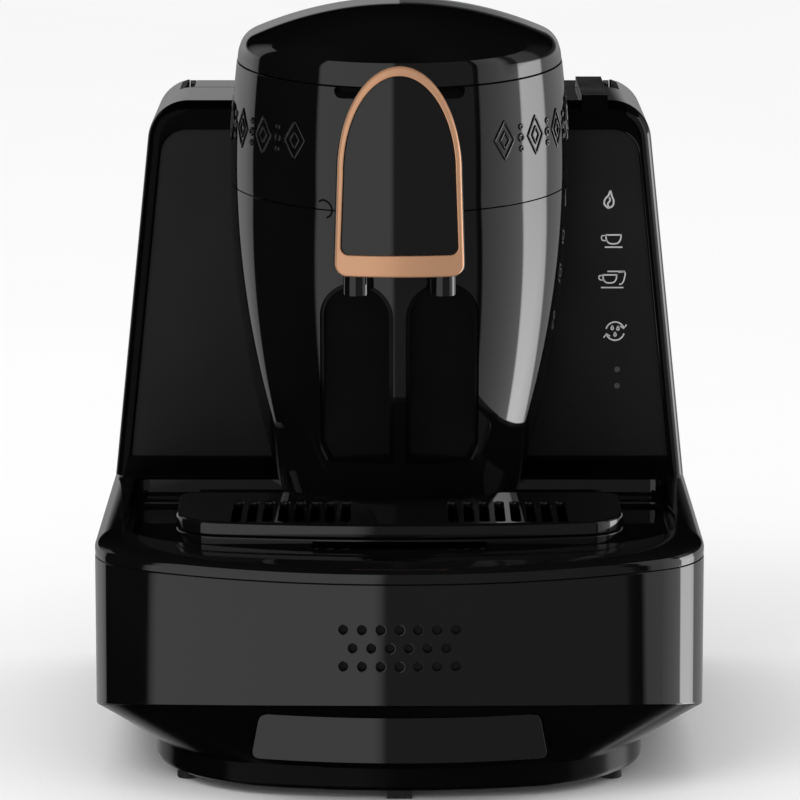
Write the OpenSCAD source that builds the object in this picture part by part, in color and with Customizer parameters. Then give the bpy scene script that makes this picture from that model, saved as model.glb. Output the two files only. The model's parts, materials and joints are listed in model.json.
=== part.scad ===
// Electric turkish coffee maker for two cups.
// Millimetres, +Z up, front towards -Y, origin on the table below the middle.

/* [Base] */
// Width of the base
base_w = 243; // [236:1:256]
// Depth of the base
base_d = 270; // [264:1:280]
// Radius of the bowed front wall, seen from above
front_r = 205; // [190:1:260]
// Radius of the two front corners, seen from above
front_corner_r = 38; // [24:1:46]
// Radius of the two rear corners, seen from above
rear_corner_r = 12; // [6:1:20]
// Wall of the moulded housings
wall = 2.6; // [2:0.1:3.2]
// Height of the skirt's lower edge at the front
skirt_front_z = 41.5; // [36:0.5:46]
// Height of the skirt's lower edge at the rear
skirt_rear_z = 9; // [8:0.5:12]
// Fall of the skirt's lower edge towards the rear, in degrees
skirt_tilt = 12.4; // [11:0.1:14]
// Height of the base shell's upper edge
shell_top_z = 90; // [86:0.5:94]
// Inset of the standing ring of the bottom pan, at its sides and rear
ring_inset = 23; // [18:1:28]
// Inset of the standing ring at the front
ring_front = 15; // [12:1:20]
// Height of the standing ring's upper edge
ring_top_z = 13; // [10:0.5:14]
// Gap below the bottom pan
pan_z = 3.6; // [3:0.1:5]
// Floor of the bottom pan
pan_floor = 2.4; // [2:0.1:3.6]

/* [Speaker grille] */
// Diameter of each sound hole
sound_hole_d = 3.4; // [2.4:0.1:4]
// Spacing of the sound holes
sound_pitch = 7.3; // [6.6:0.1:8]
// Height of the middle row of sound holes
sound_z = 64.8; // [60:0.2:68]
// Sound holes in the outer rows
sound_cols = 7; // [5:1:9]

/* [Deck and well] */
// Height of the deck
deck_z = 97.5; // [96:0.5:100]
// Height of the deck's front edge
deck_front_z = 92.5; // [92:0.5:95]
// Depth of the deck's rounded front rim
rim_d = 20; // [16:1:24]
// Half width of the well round the drip tray
well_hw = 112; // [108:1:114]
// Inset of the well from the front of the base
well_front = 24; // [22:1:28]
// Height of the well's floor
well_z = 84.5; // [83:0.5:86]
// Width of the finger notch in the rim
notch_w = 23; // [16:1:30]

/* [Drip tray and grille] */
// Half width of the drip tray
tray_hw = 89; // [84:1:96]
// Inset of the tray from the front of the base
tray_front = 34; // [30:1:38]
// Distance from the drip tray's rear edge to the tower's middle
tray_back = 55; // [50:1:60]
// Radius of the tray's front corners
tray_corner_r = 20; // [12:1:26]
// Height of the tray's rim
tray_top_z = 101; // [99.5:0.5:103]
// Wall and floor of the tray
tray_wall = 2.2; // [1.6:0.1:3]
// Width of the slot in the tray's front
tray_slot_w = 69; // [40:1:90]
// Height of the slot in the tray's front
tray_slot_h = 3.2; // [2:0.1:3.6]
// Height of the cup grille, rim included
grille_h = 5.7; // [5:0.1:8]
// Plate of the cup grille
grille_plate = 2.4; // [1.6:0.1:3]
// Distance of each cup place from the middle
cup_x = 43; // [41:0.5:46]
// Slots under each cup
slot_count = 8; // [5:1:8]
// Spacing of the slots
slot_pitch = 6.2; // [5.6:0.1:6.6]
// Width of a slot
slot_w = 3.2; // [2:0.1:4]
// Distance from the tray's front edge to the slots
slot_front = 6; // [4:0.5:10]
// Distance from the slots to the tray's rear edge
slot_rear = 20; // [17:0.5:30]

/* [Tower] */
// Widest diameter of the barrel-shaped tower
tower_w = 139; // [134:1:142]
// How much deeper than wide the tower is
tower_extra = 16; // [12:1:20]
// Distance from the tower's middle to the rear of the base
tower_back = 115; // [113:1:117]
// Rise of the barrel's widest place above its middle seam
belly_over = 2; // [-4:0.5:8]
// Radius of the tower's bulge, seen from the side
belly_r = 420; // [390:5:520]
// Height of the upper barrel, between its two seams
upper_h = 51; // [46:0.5:55]
// Height of the lid above its seam
dome_h = 23; // [21:0.5:26]
// Half width of an alcove below a nozzle
alcove_hw = 14.75; // [10:0.25:15]
// Distance of each alcove from the middle
alcove_x = 17.25; // [17:0.25:20]
// Rise of the alcoves' tops above the nozzles' mouths
alcove_over = 4; // [1:0.5:5]
// Height of the alcoves' sills
alcove_sill_z = 120; // [114:1:140]
// Distance from the alcoves' back walls to the tower's middle
alcove_in = 54; // [51:1:57]
// Wall of the alcove liner
liner_t = 1.6; // [1.2:0.1:2.4]

/* [Lid] */
// Height of the whole machine
total_h = 302; // [300:0.5:304]
// Height of the lid's upright edge
lid_edge_h = 1.1; // [0.8:0.1:1.6]
// Radius of the lid's shoulder
shoulder_r = 10; // [7:0.5:12]
// Wall of the lid
lid_wall = 2.4; // [2:0.1:3]
// Opening angle of the lid, in degrees
lid_open = 60; // [40:1:60]
// Diameter of the lid's hinge pin
lid_pin_d = 2.6; // [2:0.1:3]
// Half width of the lid's hinge lug
lug_hw = 14.5; // [10:0.5:18]
// Width of each hinge ear on the tower
ear_w = 7; // [5:0.5:10]

/* [Badge and nozzles] */
// Height of the badge
badge_h = 83.6; // [80:0.2:86]
// Rise of the badge's top above the lid's seam
badge_over = 4.8; // [2:0.2:6]
// Half width of the badge at its lower edge
badge_hw = 25.7; // [25:0.1:28]
// Side taper of the badge up to its arch
badge_taper = 1.1; // [0:0.1:2]
// Rise of the badge's arch
arch_rise = 42; // [34:1:50]
// Band of the badge frame at the sides
band_side = 2.3; // [1.8:0.1:3.4]
// Band of the badge frame at the bottom
band_bottom = 7.2; // [5:0.1:9]
// Band of the badge frame at the top
band_top = 3.6; // [2.4:0.1:5]
// Thickness of the badge frame
frame_t = 3.5; // [3:0.1:5]
// Recess of the badge panel in its frame
panel_recess = 1.2; // [0.6:0.1:1.8]
// Standing depth of the spout block in front of the tower
spout_d = 9.5; // [9:0.1:11]
// Outer diameter of a nozzle
nozzle_d = 10.4; // [9:0.1:11]
// Bore of a nozzle
nozzle_bore = 5; // [4:0.1:6]
// Distance of each nozzle from the middle
nozzle_x = 17.3; // [16:0.1:18.5]
// Length of the nozzles below the badge
nozzle_l = 8.2; // [6:0.1:10]

/* [Brewing pots] */
// Outer diameter of a brewing pot
pot_d = 50; // [44:1:52]
// Distance of each pot from the middle
pot_x = 31; // [30.5:0.5:33]
// Wall of a brewing pot
pot_wall = 1.5; // [1:0.1:2]
// Depth of the brewing pots below the brewing deck
pot_h = 91; // [76:1:95]
// Drop from the lid's seam to the brewing deck's underside
brew_drop = 13; // [11:0.5:15]
// Thickness of the brewing deck
brew_t = 3; // [2:0.5:3.5]
// Width of the pots' flanges
flange_w = 3; // [2:0.5:4]
// Thickness of the pots' flanges
flange_t = 1.5; // [1:0.1:2]
// Thickness of a pot heater
heater_t = 8; // [6:0.5:12]
// Diameter of a temperature sensor
sensor_d = 9.6; // [8:0.2:12]
// Outer diameter of the coffee tubes
tube_d = 7; // [6:0.2:8]

/* [Rear housing] */
// Width of the rear housing at the deck
wing_w0 = 241; // [236:1:243]
// Width of the rear housing at its top, before rounding
wing_w1 = 208; // [204:1:212]
// Height of the rear housing's top
wing_top_z = 257; // [255:0.5:259]
// Radius of the rear housing's top corners
wing_r = 17; // [12:1:20]
// Depth of the rear housing
wing_d = 87; // [84:1:88]
// Front wall of the rear housing
wing_front_t = 5; // [4.6:0.1:6]
// Radius of the rear housing's upper front edge
wing_edge_r = 5; // [3:0.5:5]
// Border round the wing panels at the sides
border_side = 6; // [5:0.5:8]
// Border round the wing panels at the top
border_top = 12; // [9:0.5:14]
// Height of the wing panels' lower edges
panel_z = 106; // [102:1:112]
// Thickness of the wing panels
panel_t = 1.6; // [1.2:0.1:1.8]
// Depth of the wing panels' pockets
pocket_d = 3; // [2.6:0.1:3.2]

/* [Water tank] */
// Half width of the tank
tank_hw = 91; // [86:1:92]
// Depth of the tank, front to back
tank_d = 31; // [29:0.5:31]
// Height of the tank's body
tank_h = 150; // [140:1:150]
// Wall of the tank
tank_wall = 2; // [1.6:0.1:2.4]
// Thickness of the tank lid
tank_lid_t = 6.2; // [6:0.1:6.4]
// Width of the tank lid's finger tab
tab_w = 11; // [8:0.5:14]
// Distance of the finger tab from the middle
tab_x = 81.5; // [80:0.5:82]
// Distance of the tank valve from the middle
valve_x = 50; // [46:1:60]
// Travel of the tank when it is lifted out
tank_lift = 120; // [40:5:150]

/* [Inside the base] */
// Diameter of the pump
pump_d = 32; // [26:1:36]
// Length of the pump
pump_l = 56; // [46:1:60]
// Height of the pump's middle
pump_z = 32; // [30:1:36]
// Bore of the water hoses
hose_bore = 4; // [3:0.5:5]
// Outer diameter of the water hoses
hose_d = 7; // [6:0.2:8]
// Width of the control board
board_w = 110; // [90:1:120]
// Depth of the control board
board_d = 70; // [60:1:80]
// Diameter of the speaker
speaker_d = 40; // [36:1:44]
// Width of the power switch
switch_w = 21; // [18:0.5:24]
// Height of the power switch
switch_h = 15; // [13:0.5:18]
// Distance of the power switch from the middle
switch_x = 78; // [70:1:90]
// Diameter of a rubber foot
foot_d = 9; // [7:0.5:12]
// Distance of each rubber foot from the middle
foot_x = 84.6; // [78:0.2:86]

/* [Clearances] */
// Gap between pieces that move past each other
gap = 0.3; // [0.2:0.05:0.4]
// Gap between fixed pieces with curved faces
seat = 0.2; // [0.1:0.05:0.3]
// Radial clearance of pins and shafts in their bores
pin_clear = 0.05; // [0.02:0.01:0.08]

/* [Hidden] */
$fn = 48;
eps = 0.02;
far = 400;
front_y = -base_d / 2;
rear_y = base_d / 2;

// Heights that hang from the top
lid_seam_z = total_h - dome_h;
mid_seam_z = lid_seam_z - upper_h;
belly_z = mid_seam_z + belly_over;
badge_top_z = lid_seam_z + badge_over;
badge_z = badge_top_z - badge_h;
nozzle_z = badge_z - nozzle_l;
alcove_top_z = nozzle_z + alcove_over;
brew_z = lid_seam_z - brew_drop;
pot_z = brew_z - pot_h;

// Depths from the front, with the tower and the rear housing set from the rear
tower_y = base_d - tower_back;
alcove_back = tower_y - alcove_in;
wing_y = base_d - wing_d;
tray_d = tower_y - tray_front - tray_back;
slot_l = tray_d - slot_front - slot_rear;

// Skirt line: it falls from the front and is level at the rear
skirt_knee_y = front_y + (skirt_front_z - skirt_rear_z) / tan(skirt_tilt);
function skirt_z(y) = skirt_front_z - (y - front_y) * tan(skirt_tilt);
pan_top_z = pan_z + pan_floor;

// Plan of the standing ring: its bowed front and its corners
ring_r = 220;
ring_corner_r = 60;

// Upright panel on the slope at the front of the bottom pan
facet_in = 3.2;
facet_z = ring_top_z + 5.4;
facet_top_z = skirt_front_z - 5;
facet_hw = 58.3;
facet_top_hw = 54.9;
facet_corner = 4;

// Tower plan: two half rounds, a short way apart
tower_mid_y = front_y + tower_y;
tower_yf = tower_mid_y - tower_extra / 2;
tower_yr = tower_mid_y + tower_extra / 2;
function tower_r(z) = tower_w / 2 - belly_r + sqrt(pow(belly_r, 2) - pow(z - belly_z, 2));
function tower_front(z, x = 0) = tower_yf - sqrt(pow(tower_r(z), 2) - x * x);

// Lid: a vertical edge, a round shoulder and a shallow crown
lid_z = lid_seam_z + gap;
lid_r = tower_r(lid_seam_z) - 0.4;
shoulder_z = lid_z + lid_edge_h;
shoulder_in = lid_r - shoulder_r;
shoulder_drop = total_h - shoulder_z;
crown_r = (pow(shoulder_in, 2) + pow(shoulder_drop, 2) - pow(shoulder_r, 2)) / 2 / (shoulder_drop - shoulder_r);
crown_z = total_h - crown_r;
shoulder_a = atan2(shoulder_z - crown_z, lid_r - shoulder_r);
ear_r = 3.4;
lid_axis_y = tower_yr + lid_r + 2.2;
lid_axis_z = lid_z + 1.2;
liner_z = lid_z + 0.2;
liner_plate = 2;

// Badge arch
spring_z = badge_top_z - arch_rise;
nozzle_out = 6;
nozzle_y = tower_yf - sqrt(pow(tower_r(badge_z) + nozzle_out, 2) - pow(nozzle_x, 2));
spigot_d = 5.2;
spigot_h = 8;
coffee_z = mid_seam_z + tube_d;

// Pots and heaters
pot_y = tower_mid_y - 4;
flange_z = brew_z + brew_t;
pot_rim_z = flange_z + flange_t;
heater_z = pot_z - heater_t;

// Rear housing
wing_front_y = front_y + wing_y;
wing_lean = atan2((wing_w0 - wing_w1) / 2, wing_top_z - deck_z);
function wing_x(z) = wing_w0 / 2 - (z - deck_z) * tan(wing_lean);
wing_cz = wing_top_z - wing_r;
wing_cx = wing_x(wing_cz) - wing_r / cos(wing_lean);
plate_y = wing_front_y + pocket_d - panel_t;

// Tank bay and tank
bay_t = 2.2;
bay_hw = tank_hw + 1;
tank_y0 = rear_y - 0.4 - tank_d;
tank_y1 = rear_y - 0.4;
bay_y0 = tank_y0 - 0.6;
bay_z0 = deck_z + 0.2 + bay_t;
tank_z0 = bay_z0 + gap;
tank_z1 = tank_z0 + tank_h;
tank_ear = 2.5;
tank_lid_z = tank_z1 + gap;
tank_axis_r = tank_lid_t / 2;
tank_axis_y = tank_y1 - tank_axis_r - 0.5;
tank_axis_z = tank_lid_z + tank_axis_r;
tank_pin_r = 1.15;
tank_lid_hw = tank_hw - tank_ear - gap;
tongue_z = max(wing_top_z, tank_lid_z + tank_lid_t) + gap;
tongue_t = 2.7;
tab_drop = 5;
valve_y = (tank_y0 + tank_y1) / 2 - 4;
valve_d = 12;
valve_drop = 1.5;

// Inside the base
board_z = pan_top_z + 10;
board_t = 1.6;
board_y = front_y + 87;
post_d = 9;
screw_d = 3;
screw_head = 6.4;
pump_y = valve_y;
hose_r = 8;
hose_x = valve_x;
riser_x = 24;
riser_y = tower_yr + 22;
riser_turn_z = 76;
splitter_z = brew_z - 6;
arm_d = 4;
switch_z = 52;
rocker_y = rear_y - 5.4;
gland_d = 16;
gland_z = switch_z - 20;
rear_wall_y = rear_y - wall;
// Seams of the base: behind the front corners, and in front of the rear ones
side_seam_y = front_y + front_r + 12
    - sqrt(pow(front_r - front_corner_r, 2) - pow(base_w / 2 - front_corner_r, 2));
back_seam_y = rear_y - rear_corner_r;

// ---- outlines ----

function arc(c, r, a0, a1, n, first = 1) =
    [for (i = [first:n]) let (a = a0 + (a1 - a0) * i / n) [c.x + r * cos(a), c.y + r * sin(a)]];

// Bowed front, round front corners, straight sides and round rear corners
function tub_pts(hw, y0, y1, r, rc, rr, nf = 18, nc = 8, nr = 4) =
    let (c = [0, y0 + r], cx = hw - rc, cy = c.y - sqrt(pow(r - rc, 2) - cx * cx),
         t = atan2(cy - c.y, cx))
    concat(
        arc(c, r, 180 - t, 360 + t, nf),
        arc([cx, cy], rc, t, 0, nc),
        arc([hw - rr, y1 - rr], rr, 0, 90, nr, 0),
        arc([rr - hw, y1 - rr], rr, 90, 180, nr, 0),
        arc([-cx, cy], rc, 180, 180 - t, nc, 0));

function base_pts(i) = tub_pts(base_w / 2 - i, front_y + i, rear_y - i,
    front_r - i, front_corner_r - i, max(rear_corner_r - i, 1));

function ring_pts(i) = tub_pts(base_w / 2 - ring_inset - i, front_y + ring_front + i,
    rear_y - ring_inset - i, ring_r - i, ring_corner_r - i, 12 - i);

function well_pts(i) = tub_pts(well_hw - i, front_y + well_front + i, wing_front_y - 1 - i,
    190 - i, 44 - i, 6);

function tray_pts(i) = tub_pts(tray_hw - i, front_y + tray_front + i,
    front_y + tray_front + tray_d - i, 420 - i, tray_corner_r - i, 6 - i / 2);

// Half profile of the tower between two heights, moved outwards by off
function tower_pts(z0, z1, off = 0, n = 6) =
    [for (i = [0:n]) let (z = z0 + (z1 - z0) * i / n) [tower_r(z) + off, z]];

// Half profile of the lid, inset by i
function lid_pts(i, z0) = concat(
    [[lid_r - i, z0]],
    arc([lid_r - shoulder_r, shoulder_z], shoulder_r - i, 0, shoulder_a, 5, 0),
    arc([0, crown_z], crown_r - i, shoulder_a, 88, 7));

// Arch with straight sides, a half-ellipse top and round lower corners
function arch_pts(hw, taper, z0, zs, z1, rb) = concat(
    arc([hw - rb, z0 + rb], rb, -90, 0, 4, 0),
    [for (i = [0:24]) let (a = 180 * i / 24) [(hw - taper) * cos(a), zs + (z1 - zs) * sin(a)]],
    arc([rb - hw, z0 + rb], rb, 180, 270, 4, 0));

function badge_pts(side, bottom, top, rb) = arch_pts(badge_hw - side, badge_taper,
    badge_z + bottom, spring_z, badge_top_z - top, rb);

// Front view of the rear housing, inset by i, down to z0
function wing_pts(i, z0 = deck_z) = concat(
    [[i / cos(wing_lean) - wing_x(z0), z0], [wing_x(z0) - i / cos(wing_lean), z0]],
    arc([wing_cx, wing_cz], wing_r - i, wing_lean, 90, 7, 0),
    arc([-wing_cx, wing_cz], wing_r - i, 90, 180 - wing_lean, 7, 0));

function round_rect(w, d, r, n = 4) = concat(
    arc([w / 2 - r, d / 2 - r], r, 0, 90, n, 0), arc([r - w / 2, d / 2 - r], r, 90, 180, n, 0),
    arc([r - w / 2, r - d / 2], r, 180, 270, n, 0), arc([w / 2 - r, r - d / 2], r, 270, 360, n, 0));

// ---- building blocks ----

module box(x0, x1, y0, y1, z0, z1) translate([x0, y0, z0]) cube([x1 - x0, y1 - y0, z1 - z0]);

module prism_z(z0, z1, pts) translate([0, 0, z0]) linear_extrude(z1 - z0) polygon(pts);

// A front-view outline carried from y0 back to y1
module prism_y(y0, y1, pts) translate([0, y1, 0]) rotate([90, 0, 0]) linear_extrude(y1 - y0) polygon(pts);

// A side-view outline, of depth and height, carried across half widths hw
module prism_x(hw, pts) translate([-hw, 0, 0]) rotate([90, 0, 90]) linear_extrude(2 * hw) polygon(pts);

module rod_z(x, y, z0, z1, d) translate([x, y, z0]) cylinder(h = z1 - z0, d = d);

module rod_y(x, y0, y1, z, d) translate([x, y0, z]) rotate([-90, 0, 0]) cylinder(h = y1 - y0, d = d);

module rod_x(x0, x1, y, z, d) translate([x0, y, z]) rotate([0, 90, 0]) cylinder(h = x1 - x0, d = d);

// Quarter bend of a hose in the XZ plane, from centre c, starting at angle a
module bend(c, r, d, a) translate(c) rotate([90, 0, 0])
    rotate_extrude(angle = 90, start = a) translate([r, 0]) circle(d = d);

// Round front and back with a straight stretch between: the plan of tower and lid
module oblong(pts) {
    n = len(pts) - 1;
    half = concat([[0, pts[0].y]], pts, [[0, pts[n].y]]);
    full = concat(pts, [for (i = [n:-1:0]) [-pts[i].x, pts[i].y]]);
    translate([0, tower_yf, 0]) rotate([0, 0, 180]) rotate_extrude(angle = 180) polygon(half);
    translate([0, tower_yr, 0]) rotate_extrude(angle = 180) polygon(half);
    prism_y(tower_yf, tower_yr, full);
}

module tower_solid(z0, z1, off = 0, n = 6) oblong(tower_pts(z0, z1, off, n));

module on_both_sides() {
    children();
    mirror([1, 0, 0]) children();
}

module below_skirt(drop = 0) prism_x(base_w, [
    [front_y - 9, -9], [front_y - 9, skirt_z(front_y - 9) - drop], [skirt_knee_y, skirt_rear_z - drop],
    [rear_y + 9, skirt_rear_z - drop], [rear_y + 9, -9]]);

// ---- base ----

// Places of the screws that hold the pan to the deck's posts
screw_x = base_w / 2 - 41;
SCREWS = [for (y = [front_y + 77, rear_y - 43], x = [-screw_x, screw_x]) [x, y]];

module bottom_pan() color([0.04, 0.04, 0.045]) {
    cavity = tub_pts(base_w / 2 - ring_inset - 3, front_y + ring_inset + 19, rear_y - ring_inset - 3,
        front_r, 12, 6);
    difference() {
        union() {
            intersection() {
                hull() {
                    prism_z(pan_z, ring_top_z, ring_pts(2.4));
                    prism_z(pan_z + 0.8, ring_top_z, ring_pts(0.7));
                    prism_z(pan_z + 2.8, ring_top_z, ring_pts(0));
                    intersection() {
                        prism_z(0, shell_top_z, base_pts(0.5));
                        difference() {
                            below_skirt();
                            below_skirt(0.6);
                        }
                    }
                }
                below_skirt();
            }
            intersection() {
                prism_z(facet_z, facet_top_z, base_pts(facet_in));
                prism_y(front_y, front_y + 2 * ring_front, [[-facet_hw, facet_z], [facet_hw, facet_z],
                    [facet_top_hw, facet_top_z - facet_corner], [facet_top_hw - facet_corner, facet_top_z],
                    [facet_corner - facet_top_hw, facet_top_z], [-facet_top_hw, facet_top_z - facet_corner]]);
            }
        }
        prism_z(pan_top_z, far, cavity);
        for (p = SCREWS) {
            rod_z(p.x, p.y, 0, pan_z + 1.4, screw_head + 0.4);
            rod_z(p.x, p.y, 0, far, screw_d + 2 * pin_clear);
        }
        for (p = FEET) rod_z(p.x, p.y, 0, far, foot_d / 2 + 2 * pin_clear);
    }
}

FEET = [[-foot_x, front_y + 54], [foot_x, front_y + 54], [-foot_x, rear_y - 32], [foot_x, rear_y - 32]];

module rubber_feet() color([0.02, 0.02, 0.02])
    for (p = FEET) {
        rod_z(p.x, p.y, 0, pan_z, foot_d);
        rod_z(p.x, p.y, pan_z, pan_top_z, foot_d / 2);
    }

module front_foot() color([0.02, 0.02, 0.02])
    box(-5, 5, front_y + ring_front + 3.5, front_y + ring_front + 11.5, 0, pan_z);

module shell_wall()
    difference() {
        prism_z(skirt_rear_z, shell_top_z, base_pts(0));
        prism_z(skirt_rear_z - 1, shell_top_z + 1, base_pts(wall));
        below_skirt();
    }

// The front moulding of the base runs round both front corners
module base_shell() color([0.03, 0.03, 0.035])
    difference() {
        shell_wall();
        box(-far, far, side_seam_y, far, -far, far);
        for (row = [-1:1]) {
            count = sound_cols - (row == 0 ? 1 : 0);
            for (i = [0:count - 1])
                rod_y((i - (count - 1) / 2) * sound_pitch, front_y - 5, front_y + 20,
                    sound_z + row * sound_pitch, sound_hole_d);
        }
    }

module side_shells() color([0.03, 0.03, 0.035])
    difference() {
        shell_wall();
        box(-far, far, -far, side_seam_y, -far, far);
        box(-far, far, back_seam_y, far, -far, far);
    }

module back_shell() color([0.03, 0.03, 0.035])
    difference() {
        shell_wall();
        box(-far, far, -far, back_seam_y, -far, far);
        box(-switch_x - switch_w / 2, switch_w / 2 - switch_x, rear_wall_y - 1, rear_y + 1,
            switch_z - switch_h / 2, switch_z + switch_h / 2);
        // Recess for the switch's flange
        box(-switch_x - switch_w / 2 - 2 - seat, switch_w / 2 + 2 + seat - switch_x, rear_y - 0.8, rear_y + 1,
            switch_z - switch_h / 2 - 2 - seat, switch_z + switch_h / 2 + 2 + seat);
        rod_y(switch_x, rear_wall_y - 1, rear_y + 1, gland_z, gland_d);
    }

module deck() color([0.05, 0.05, 0.055])
    difference() {
        union() {
            // The rim rolls over at the front and round the corners
            hull()
                for (a = [0:18:90])
                    prism_z(shell_top_z, deck_front_z + (deck_z - deck_front_z) * sin(a),
                        tub_pts(base_w / 2, front_y + rim_d * (1 - cos(a)), rear_y, front_r,
                            front_corner_r, rear_corner_r));
            prism_z(well_z - wall, shell_top_z, well_pts(-wall));
            for (p = SCREWS) rod_z(p.x, p.y, pan_top_z, shell_top_z + 1, post_d);
        }
        prism_z(well_z, far, well_pts(0));
        box(-notch_w / 2, notch_w / 2, front_y + rim_d - 3, front_y + well_front + 3, deck_z - 2.4, far);
        tower_solid(well_z, deck_z + 1, seat, 1);
        for (p = SCREWS) rod_z(p.x, p.y, 0, 30, screw_d + 2 * pin_clear);
        rod_z(-hose_x, valve_y, 0, far, hose_d + 1);
        rod_z(riser_x, riser_y, 0, far, hose_d + 1);
    }

module case_screws() color([0.6, 0.6, 0.62])
    for (p = SCREWS) {
        rod_z(p.x, p.y, pan_z - 0.4, pan_z + 1.3, screw_head);
        rod_z(p.x, p.y, pan_z + 1.3, 26, screw_d);
    }

// ---- drip tray ----

module tray_plan(i, z0, z1) difference() {
    prism_z(z0, z1, tray_pts(i));
    translate([0, tower_yf, z0 - 1]) cylinder(h = z1 - z0 + 2, r = tower_r(tray_top_z + 40) + 2 + i, $fn = 96);
}

module drip_tray() color([0.03, 0.03, 0.03])
    difference() {
        tray_plan(0, well_z + gap, tray_top_z);
        tray_plan(tray_wall, well_z + gap + tray_wall, tray_top_z + 1);
        box(-tray_slot_w / 2, tray_slot_w / 2, front_y + tray_front - 2, front_y + tray_front + 8,
            tray_top_z - 1 - tray_slot_h, tray_top_z - 1);
    }

module slot(x, y, z0, z1) {
    box(x - slot_w / 2, x + slot_w / 2, y - slot_l / 2 + slot_w / 2, y + slot_l / 2 - slot_w / 2, z0, z1);
    for (s = [-1, 1]) rod_z(x, y + s * (slot_l - slot_w) / 2, z0, z1, slot_w);
}

module cup_grille() color([0.08, 0.08, 0.085]) {
    z0 = tray_top_z + gap;
    z1 = z0 + grille_h;
    slot_y = front_y + tray_front + slot_front + slot_l / 2;
    difference() {
        tray_plan(0, z0, z1);
        tray_plan(3, z0 - 1, z1 - grille_plate);
        on_both_sides() for (i = [0:slot_count - 1])
            slot(cup_x + (i - (slot_count - 1) / 2) * slot_pitch, slot_y, z0 - 1, z1 + 1);
    }
}

// ---- tower ----

module alcove(i, y0, y1) {
    r = alcove_hw - i;
    for (s = [-1, 1]) {
        box(s * alcove_x - r, s * alcove_x + r, y0, y1, alcove_sill_z + i, alcove_top_z - alcove_hw);
        rod_y(s * alcove_x, y0, y1, alcove_top_z - alcove_hw, 2 * r);
    }
}

module tower_lower() color([0.03, 0.03, 0.035])
    difference() {
        tower_solid(well_z, mid_seam_z, 0, 8);
        tower_solid(well_z - 1, mid_seam_z + 1, -wall, 8);
        alcove(0, front_y + 40, front_y + alcove_back);
    }

module alcove_liner() color([0.015, 0.015, 0.018])
    intersection() {
        difference() {
            alcove(seat / 2, front_y + 40, front_y + alcove_back);
            alcove(liner_t, front_y + 30, front_y + alcove_back - liner_t);
        }
        tower_solid(well_z, mid_seam_z, -0.6, 8);
    }

module lid_ears() on_both_sides() {
    x0 = lug_hw + gap;
    rod_x(x0, x0 + ear_w, lid_axis_y, lid_axis_z, 2 * ear_r);
    box(x0, x0 + ear_w, lid_axis_y - ear_r, lid_axis_y + ear_r, lid_seam_z - 9, lid_axis_z);
    box(x0, x0 + ear_w, lid_axis_y - 9, lid_axis_y, lid_seam_z - 9, lid_seam_z - 0.4);
}

module tower_upper() color([0.03, 0.03, 0.035])
    difference() {
        union() {
            tower_solid(mid_seam_z, lid_seam_z, 0, 4);
            lid_ears();
        }
        tower_solid(mid_seam_z - 1, lid_seam_z + 1, -wall, 4);
        // Room for the lid's lug
        box(-lug_hw - 0.6, lug_hw + 0.6, lid_axis_y - 5, lid_axis_y + 9, lid_axis_z - ear_r - 0.6, far);
        rod_x(-far, far, lid_axis_y, lid_axis_z, lid_pin_d + 2 * pin_clear);
        // Finger notches beside the badge
        on_both_sides() box(17.5, 26, tower_front(lid_seam_z) - 2, tower_front(lid_seam_z) + 10,
            lid_seam_z - 4.5, lid_seam_z - 1);
        on_both_sides() rod_y(nozzle_x, front_y + 40, tower_yf - 40, coffee_z, tube_d + 2 * seat);
    }

module brew_deck() color([0.55, 0.56, 0.58]) {
    r = tower_r(brew_z + brew_t) - wall - seat;
    difference() {
        oblong([[r, brew_z], [r, brew_z + brew_t]]);
        on_both_sides() rod_z(pot_x, pot_y, 0, far, pot_d + 2 * seat);
    }
}

module pot(side) translate([side * pot_x, pot_y, 0]) difference() {
    union() {
        rod_z(0, 0, pot_z, pot_rim_z, pot_d);
        rod_z(0, 0, flange_z, pot_rim_z, pot_d + 2 * flange_w);
    }
    rod_z(0, 0, pot_z + 2, pot_rim_z + 1, pot_d - 2 * pot_wall);
    // Outlet towards the coffee tube, and inlet for the water
    rod_y(side * (nozzle_x - pot_x), -pot_d, 0, coffee_z, tube_d + 2 * seat);
    rod_y(side * (riser_x - pot_x), 0, pot_d, splitter_z, arm_d + 2 * seat);
}

module pot_left() color([0.7, 0.7, 0.72]) pot(-1);
module pot_right() color([0.7, 0.7, 0.72]) pot(1);

module pot_heater(side) difference() {
    rod_z(side * pot_x, pot_y, heater_z, pot_z, pot_d - 2);
    rod_z(side * pot_x, pot_y, heater_z - 1, pot_z + 1, sensor_d + 2 * seat);
}

module pot_heater_left() color([0.75, 0.72, 0.68]) pot_heater(-1);
module pot_heater_right() color([0.75, 0.72, 0.68]) pot_heater(1);

module temp_sensor(side) {
    rod_z(side * pot_x, pot_y, heater_z - 2, pot_z, sensor_d);
    rod_z(side * pot_x, pot_y, heater_z - 8, heater_z - 2, sensor_d / 2);
}

module temp_sensor_left() color([0.8, 0.78, 0.7]) temp_sensor(-1);
module temp_sensor_right() color([0.8, 0.78, 0.7]) temp_sensor(1);

// Coffee tube: from the pot's wall forward, then down into the nozzle
module coffee_tube(side) {
    pot_wall_y = pot_y - sqrt(pow(pot_d / 2 - pot_wall, 2) - pow(pot_x - nozzle_x, 2));
    x = side * nozzle_x;
    difference() {
        union() {
            rod_y(x, nozzle_y, pot_wall_y, coffee_z, tube_d);
            translate([x, nozzle_y, coffee_z]) sphere(d = tube_d);
            rod_z(x, nozzle_y, badge_z + spigot_h, coffee_z, spigot_d);
        }
        rod_y(x, nozzle_y, pot_wall_y + 1, coffee_z, tube_d - 3);
        rod_z(x, nozzle_y, badge_z, coffee_z, spigot_d - 2);
    }
}

module coffee_tube_left() color([0.8, 0.8, 0.78]) coffee_tube(-1);
module coffee_tube_right() color([0.8, 0.8, 0.78]) coffee_tube(1);

// ---- badge and nozzles ----

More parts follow.
